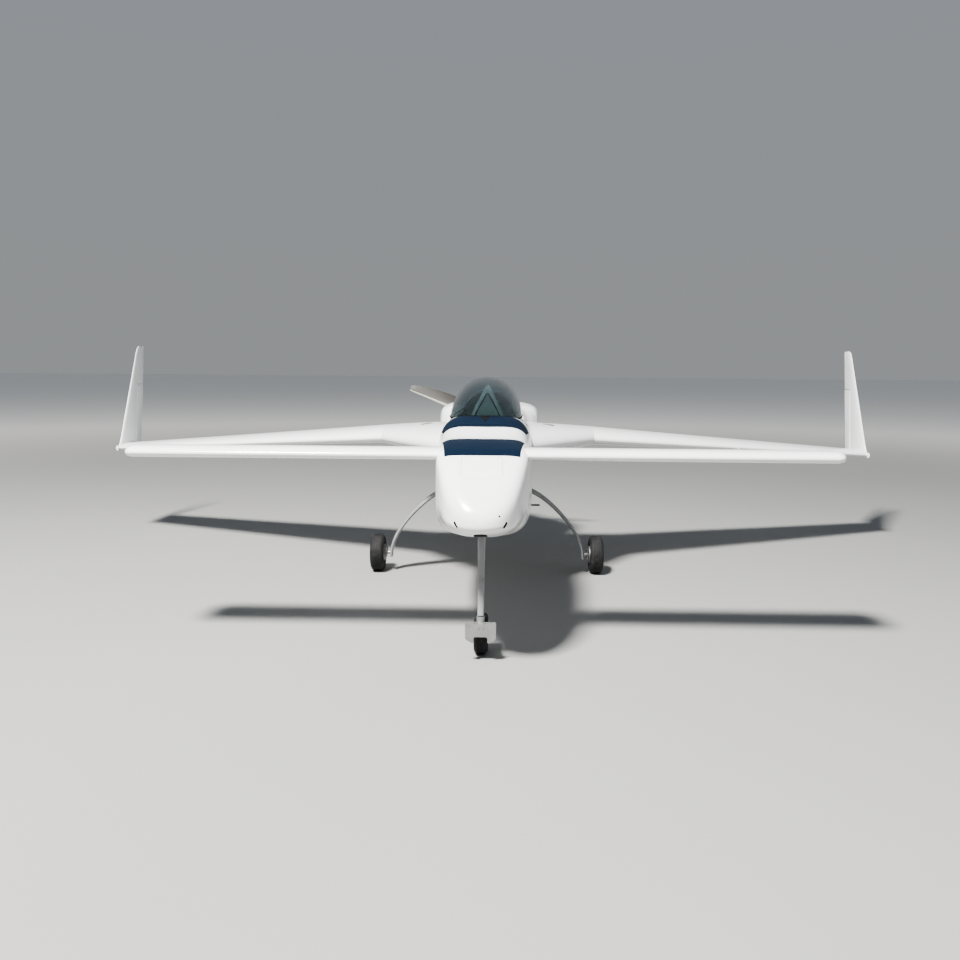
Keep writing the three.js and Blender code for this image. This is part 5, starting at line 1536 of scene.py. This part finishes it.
headrest = plate([(-86, 1186), (86, 1186), (10, 1328), (-10, 1328)], 1667, 1679)
pads = [board(low, high, half - 9, thick - 2 * SWELL, PAD_CORNER)
        for _, low, high, half, thick, _ in CUSHIONS]
swollen([*pads, headrest])
for pad, (name, low, high, half, thick, channels) in zip(pads, CUSHIONS):
    subdivided(pad)
    low, high, along, face = lying(low, high)
    origin = np.array(metres([low])[0])
    at = coordinates(pad.data) - origin
    run, out = at @ np.array(along), at @ np.array(face)
    length = (high - low).length / 1000
    for k in range(1, channels + 1):
        seam = np.exp(-((run - length * k / (channels + 1)) / 0.005) ** 2)
        at -= np.outer(np.where(out > 0, seam * 0.007, 0), np.array(face))
    out = at @ np.array(face)
    limit = thick / 2000
    at += np.outer(np.clip(out, -limit + 0.0005, limit) - out, np.array(face))
    pad.data.vertices.foreach_set("co", (at + origin).ravel())
    fit(pad, name.replace("cushion", "pad"), "airframe", "seat_cloth", cloth.material, name, crease_deg=80)
    edge = [tuple(low + Vector((x, 0, 0)) + along * y + face * (thick / 2 - 12))
            for x, y in rounded(half, 0, (high - low).length, PAD_CORNER, PAD_CORNER - 2)]
    fit(tube(edge, 3, closed=True), name.replace("cushion", "piping"), "airframe", "seat_cloth",
        piping.material)
subdivided(headrest)
at = coordinates(headrest.data)
at[:, 1] = np.minimum(at[:, 1], metres([(0, 1688, 0)])[0][1])
headrest.data.vertices.foreach_set("co", at.ravel())
fit(headrest, "headrest_pad", "airframe", "seat_cloth", rest_cloth.material, "front_headrest", crease_deg=80)
corners = [(-94, 1181), (94, 1181), (8, 1338), (-8, 1338)]
edge = [(a[0] + (b[0] - a[0]) * t, 1684, a[1] + (b[1] - a[1]) * t)
        for a, b in zip(corners, [*corners[1:], corners[0]]) for t in np.linspace(0.04, 0.96, 12)]
fit(tube(edge, 5, closed=True), "headrest_piping", "airframe", "black_trim", piping.material)

# Roll frame: an A of light-painted laminate behind the front seat, with a thin inner web, that
# also carries the front occupant's harness.
ROLL = SimpleNamespace(front=1690, back=1724)
pale = clouded("pale_laminate", 24, 4, (0.66, 0.68, 0.67), (0.78, 0.79, 0.78), coat_weight=0.2,
               coat_roughness=0.2)
pale.wear(roughness=0.42 + 0.15 * pale.noise(50, 3))
outer = [(-190, 1040), (-14, 1396), (-6, 1404), (6, 1404), (14, 1396), (190, 1040)]
inner = [(-150, 1052), (-9, 1346), (-4, 1352), (4, 1352), (9, 1346), (150, 1052)]
roll = plate(outer, ROLL.front, ROLL.back)
cut(roll, plate(inner, ROLL.front - 5, ROLL.front + 9), plate(inner, ROLL.back - 9, ROLL.back + 5))
fit(eased(roll, 2.5), "roll_frame_web", "airframe", "grey_composite", pale.material, "roll_frame")

# Harness: grey nylon webbing with steel fittings. Two shoulder straps and a lap belt for each
# seat lie slack on the cushions, the shoulder straps anchored behind. One strap end hangs loose
# behind the roll frame.
STRAP_WIDTH, STRAP_CLEAR = 44, 27  # a strap's width and its height over the cushion's middle
webbing_grey = Finish("harness_webbing", roughness=0.8, sheen_weight=0.2)
ribs = webbing_grey.node("ShaderNodeTexWave", {"bands_direction": "DIAGONAL"}, Vector=webbing_grey.place,
                         Scale=260.0, Distortion=0.3)
webbing_grey.wear(base_color=webbing_grey.blend(ribs, (0.15, 0.155, 0.155), (0.24, 0.245, 0.24)))
webbing_grey.bump(ribs, 0.0005, 0.6)
STRAP_SECTION = [(-1, -0.4), (-0.96, -1), (0.96, -1), (1, -0.4), (1, 0.4), (0.96, 1), (-0.96, 1), (-1, 0.4)]


def webbing(path, width=STRAP_WIDTH, thick=1.8):
    """A flat strap along (x, station, z, facing) rows, on a smooth curve through them."""
    rows = [(i, *p, *Vector(f).normalized()) for i, (p, f) in enumerate(path)]
    places = [hull_row(rows, s)[1:] for s in np.linspace(0, len(rows) - 1, 8 * (len(rows) - 1) + 1)]
    rings = []
    for i, row in enumerate(places):
        p, face = Vector(row[:3]), Vector(row[3:]).normalized()
        behind, ahead = around(places, i)
        along = (Vector(ahead[:3]) - Vector(behind[:3])).normalized()
        across = along.cross(face).normalized()
        rings.append([tuple(p + across * (width / 2 * u) + face * (thick / 2 * v))
                      for u, v in STRAP_SECTION])
    return skin(rings)


def back_strap(low, high, x0, x1, anchor):
    """A shoulder strap down the front of a back cushion from its anchor."""
    low, high, _, face = lying(low, high)
    path = [(anchor, (0, -0.5, 0.9))]
    for t in (1.04, 0.86, 0.6, 0.35, 0.12):
        x = x1 + (x0 - x1) * t
        path.append((tuple(low + (high - low) * t + face * STRAP_CLEAR + Vector((x, 0, 0))), tuple(face)))
    return path


UP = (0, 0, 1)
straps = []
for side in (-1, 1):
    for (_, low, high, *_), top_x, (x, s, z) in ((CUSHIONS[0], 74, (60, 1686, 1150)),
                                                 (CUSHIONS[2], 78, (70, 2556, 1132))):
        straps.append(webbing(back_strap(low, high, side * top_x, side * 104, (side * x, s, z))))
    for s, z in ((1120, 665), (2100, 823)):
        straps.append(webbing([((side * 176, s + 16, z - 16), (side, 0, 0.4)), ((side * 150, s, z + 2), UP),
                               ((side * 90, s - 20, z + 4), UP), ((side * 18, s - 34, z + 5), UP)]))
straps.append(webbing([((60, 1728, 1262), (0, 0.7, 0.7)), ((86, 1764, 1276), (0.2, 0.3, 1)),
                       ((124, 1800, 1240), (0.5, 0.1, 0.9)), ((150, 1812, 1190), (0.9, 0.1, 0.2)),
                       ((168, 1806, 1150), (0.8, 0, 0.3))], 30))
for k, strap in enumerate(straps):
    fit(strap, f"harness_strap_{k}", "airframe", "seat_cloth", webbing_grey.material)
buckles = []
for station, z in ((1086, 672), (2066, 830)):
    buckles.append(eased(block(-26, 26, station - 20, station + 20, z - 5, z + 7), 3, 3))
    buckles.append(eased(block(-13, 13, station - 13, station + 13, z + 6, z + 10), 2, 2))
for x, s, z in ((60, 1686, 1152), (-60, 1686, 1152)):
    buckles.append(eased(block(x - 26, x + 26, s - 4, s + 2, z - 5, z + 9), 1.5))
fit(weld(buckles[0], *buckles[1:]), "harness_buckles", "airframe", "plain_steel", STEEL)

# Hand controls: a moulded grip on a short steel stick on the starboard armrest, and a throttle
# quadrant with a round-ended lever on the port one.
HAND = SimpleNamespace(x=238, stick=1190, lever=1090)
foot = Vector((-HAND.x, HAND.stick, ARMREST_TOP + GAP))
stick = spun([(22, 0), (22, 3), (19, 6), (17, 9.6)], foot, (0, 0, 1), 40)
gaiter = spun([(16, 0), (16, 3), (12, 5), (13.5, 8), (10.5, 11), (12, 14), (9, 17), (10, 20), (7.4, 24)],
              foot + Vector((0, -1, 9)), (0, -0.25, 1), 36)
grip_low, grip_high = foot + Vector((0, -12, 43)), foot + Vector((0, -32, 139))
aim = (grip_high - grip_low).normalized()
grip = spun([(0.5, 0), (11, 0.5), (13, 4), (12.2, 22), (13.8, 34), (12.4, 46), (14, 58), (13, 70), (15, 80),
             (15.6, 90), (13, 96), (7, 97.6), (0.5, 98)], grip_low, aim, 44)
weld(stick, gaiter, rod(foot + Vector((0, 0, 8)), grip_low + aim * 4, 6, sides=24), grip,
     rod(grip_high - aim * 12 + Vector((0, -10, 0)), grip_high - aim * 10 + Vector((0, -19, 1)), 4, 3.4, 20))
fit(stick, "side_stick_grip", "airframe", "black_trim", BLACK, "side_stick")
quadrant = eased(block(HAND.x - 17, HAND.x + 17, HAND.lever - 60, HAND.lever + 60, ARMREST_TOP + GAP,
                       ARMREST_TOP + 16), 3.5, 3)
cut(quadrant, block(HAND.x - 2.6, HAND.x + 2.6, HAND.lever - 44, HAND.lever + 44, ARMREST_TOP + 9,
                    ARMREST_TOP + 30))
top = Vector((HAND.x, HAND.lever + 34, ARMREST_TOP + 87))
weld(quadrant, rod((HAND.x, HAND.lever, ARMREST_TOP + 8), tuple(top), 3.6, sides=16),
     spun([(0.5, -17), (8, -16), (11.6, -11), (12, 0), (11.6, 11), (8, 16), (0.5, 17)], top, (1, 0, 0), 36))
fit(quadrant, "throttle_quadrant", "airframe", "black_trim", BLACK, "throttle_lever")

# Battery: a sealed lead-acid box low in the nose, its edges rounded, with a slightly smaller lid
# that carries two lead posts.
case = clouded("battery_case", 40, 4, (0.014, 0.014, 0.016), (0.032, 0.032, 0.036),
               (260, 3, 0.0004, 0.5), roughness=0.5)
battery = eased(block(-104, 104, -250, -118, 723, 893), 4, 3)
weld(battery, eased(block(-101, 101, -247, -121, 892, 901), 2.5, 2))
fit(battery, "battery_box", "airframe", "battery_lead", case.material, "battery")
posts = [spun([(9, 0), (9, 2), (7, 3), (6.4, 9.5), (0.4, 9.8)], (x, -150, 900.5), (0, 0, 1), 28)
         for x in (-78, 78)]
fit(weld(posts[0], posts[1]), "battery_posts", "airframe", "battery_lead", STEEL)

# Propeller edges: a pale urethane strip bonded round each leading edge to guard the wood. It
# starts outside the spinner and follows the blade's twist out to the tip.
urethane = clouded("pale_urethane", 70, 4, (0.30, 0.285, 0.24), (0.44, 0.42, 0.36), roughness=0.45)
EDGE = aerofoil(1, 0, 16)[[-4, -3, -2, -1, 0, 1, 2, 3, 4]]


def blade_edge(direction):
    rings = []
    for r in np.linspace(190, 784, 34):
        _, chord, thick, twist, sweep = hull_row(BLADE, r)
        angle = math.radians(twist)
        ring = []
        for grow in (0.8, -1.5):
            for u, v in EDGE if grow > 0 else EDGE[::-1]:
                across, depth = (u - AXIS_SHARE) * chord + sweep, v * thick
                out = Vector((u - 0.16, v * thick / chord * 4)).normalized() * grow
                across, depth = across + out.x, depth + out.y
                ring.append(blade_point(direction, r, across, depth, angle))
        rings.append(ring)
    return tilted(skin(rings))


for direction, name in ((1, "a"), (-1, "b")):
    fit(blade_edge(direction), f"blade_edge_strip_{name}", "propeller", "blade_wood", urethane.material)

# Fuel filler caps: round alloy caps set flush in the strakes, with a folding tab across. Each
# sits on its strake's own skin, at the point found by looking straight down.
def landing(name, x, station):
    """The highest point of a piece at a place seen from above, and the way it faces there."""
    start = Vector(metres([(x, station, 1600)])[0])
    hit, point, facing, _ = bpy.data.objects[name].ray_cast(start, Vector((0, 0, -1)))
    assert hit, name
    return Vector((point.x * 1000, (point.y + AFT_SHIFT) * 1000, point.z * 1000)), facing


bpy.context.view_layer.update()
for side, name in SIDES:
    spot, facing = landing(f"strake_skin_{name}", side * 440, 1850)
    cap = spun([(44, -3), (44, 0.8), (42.5, 1.6), (33, 1.7), (32, 0.8), (31, 2.2), (29, 3.2), (14, 3.6),
                (0.4, 3.7)], spot, facing, 64)
    along = facing.cross(Vector((1, 0, 0))).normalized() * 20
    weld(cap, rod(spot + facing * 3.4 - along, spot + facing * 3.4 + along, 3.2, sides=16))
    fit(cap, f"fuel_cap_{name}", "airframe", "bare_alloy", ALLOY)

# Cowl fasteners: quarter-turn studs along both sides of the cowl's split line and round the
# joint with the turtledeck, and two on the nose hatch.
STUD_RING = 2913  # the station of the studs round that joint


def on_side(side, place):
    """A point and its facing, mirrored for side -1."""
    (x, s, z), facing = place
    return (side * x, s, z), Vector((side * facing.x, facing.y, facing.z))


studs = [hull_surface(COWL, s, z=COWL_SPLIT + dz, side=side)
         for s in range(2925, 3480, 92) for dz in (-13, 14) for side in (-1, 1)]
studs += [on_side(math.copysign(1, x), hull_surface(COWL, STUD_RING, x=abs(x)))
          for x in (-330, -210, -90, 90, 210, 330)]
screws("cowl_studs", "airframe", studs, 0.0062, 0.0018, 11)
hatch_studs = [on_side(side, hull_surface(BODY, HATCH["back"] - 16, x=80)) for side in (-1, 1)]
screws("hatch_studs", "airframe", hatch_studs, 0.006, 0.0016, 5)

# Brake lines: thin black hoses clipped down the back of each gear leg, from where the leg leaves
# the belly to its brake.
for side, name in SIDES:
    rows = [(side * x, GEAR_STATION + chord / 2 + 3.5, z + thick * 0.2) for x, z, chord, thick in BOW[3:]]
    path = [hull_row([(i, *row) for i, row in enumerate(rows)], t)[1:]
            for t in np.linspace(0, len(rows) - 1, 40)]
    hose = tube([*path, (side * 738, GEAR_STATION + 52, 120), (side * 750, GEAR_STATION + 52, 134)], 3)
    fit(hose, f"brake_hose_{name}", "airframe", "black_trim", BLACK)
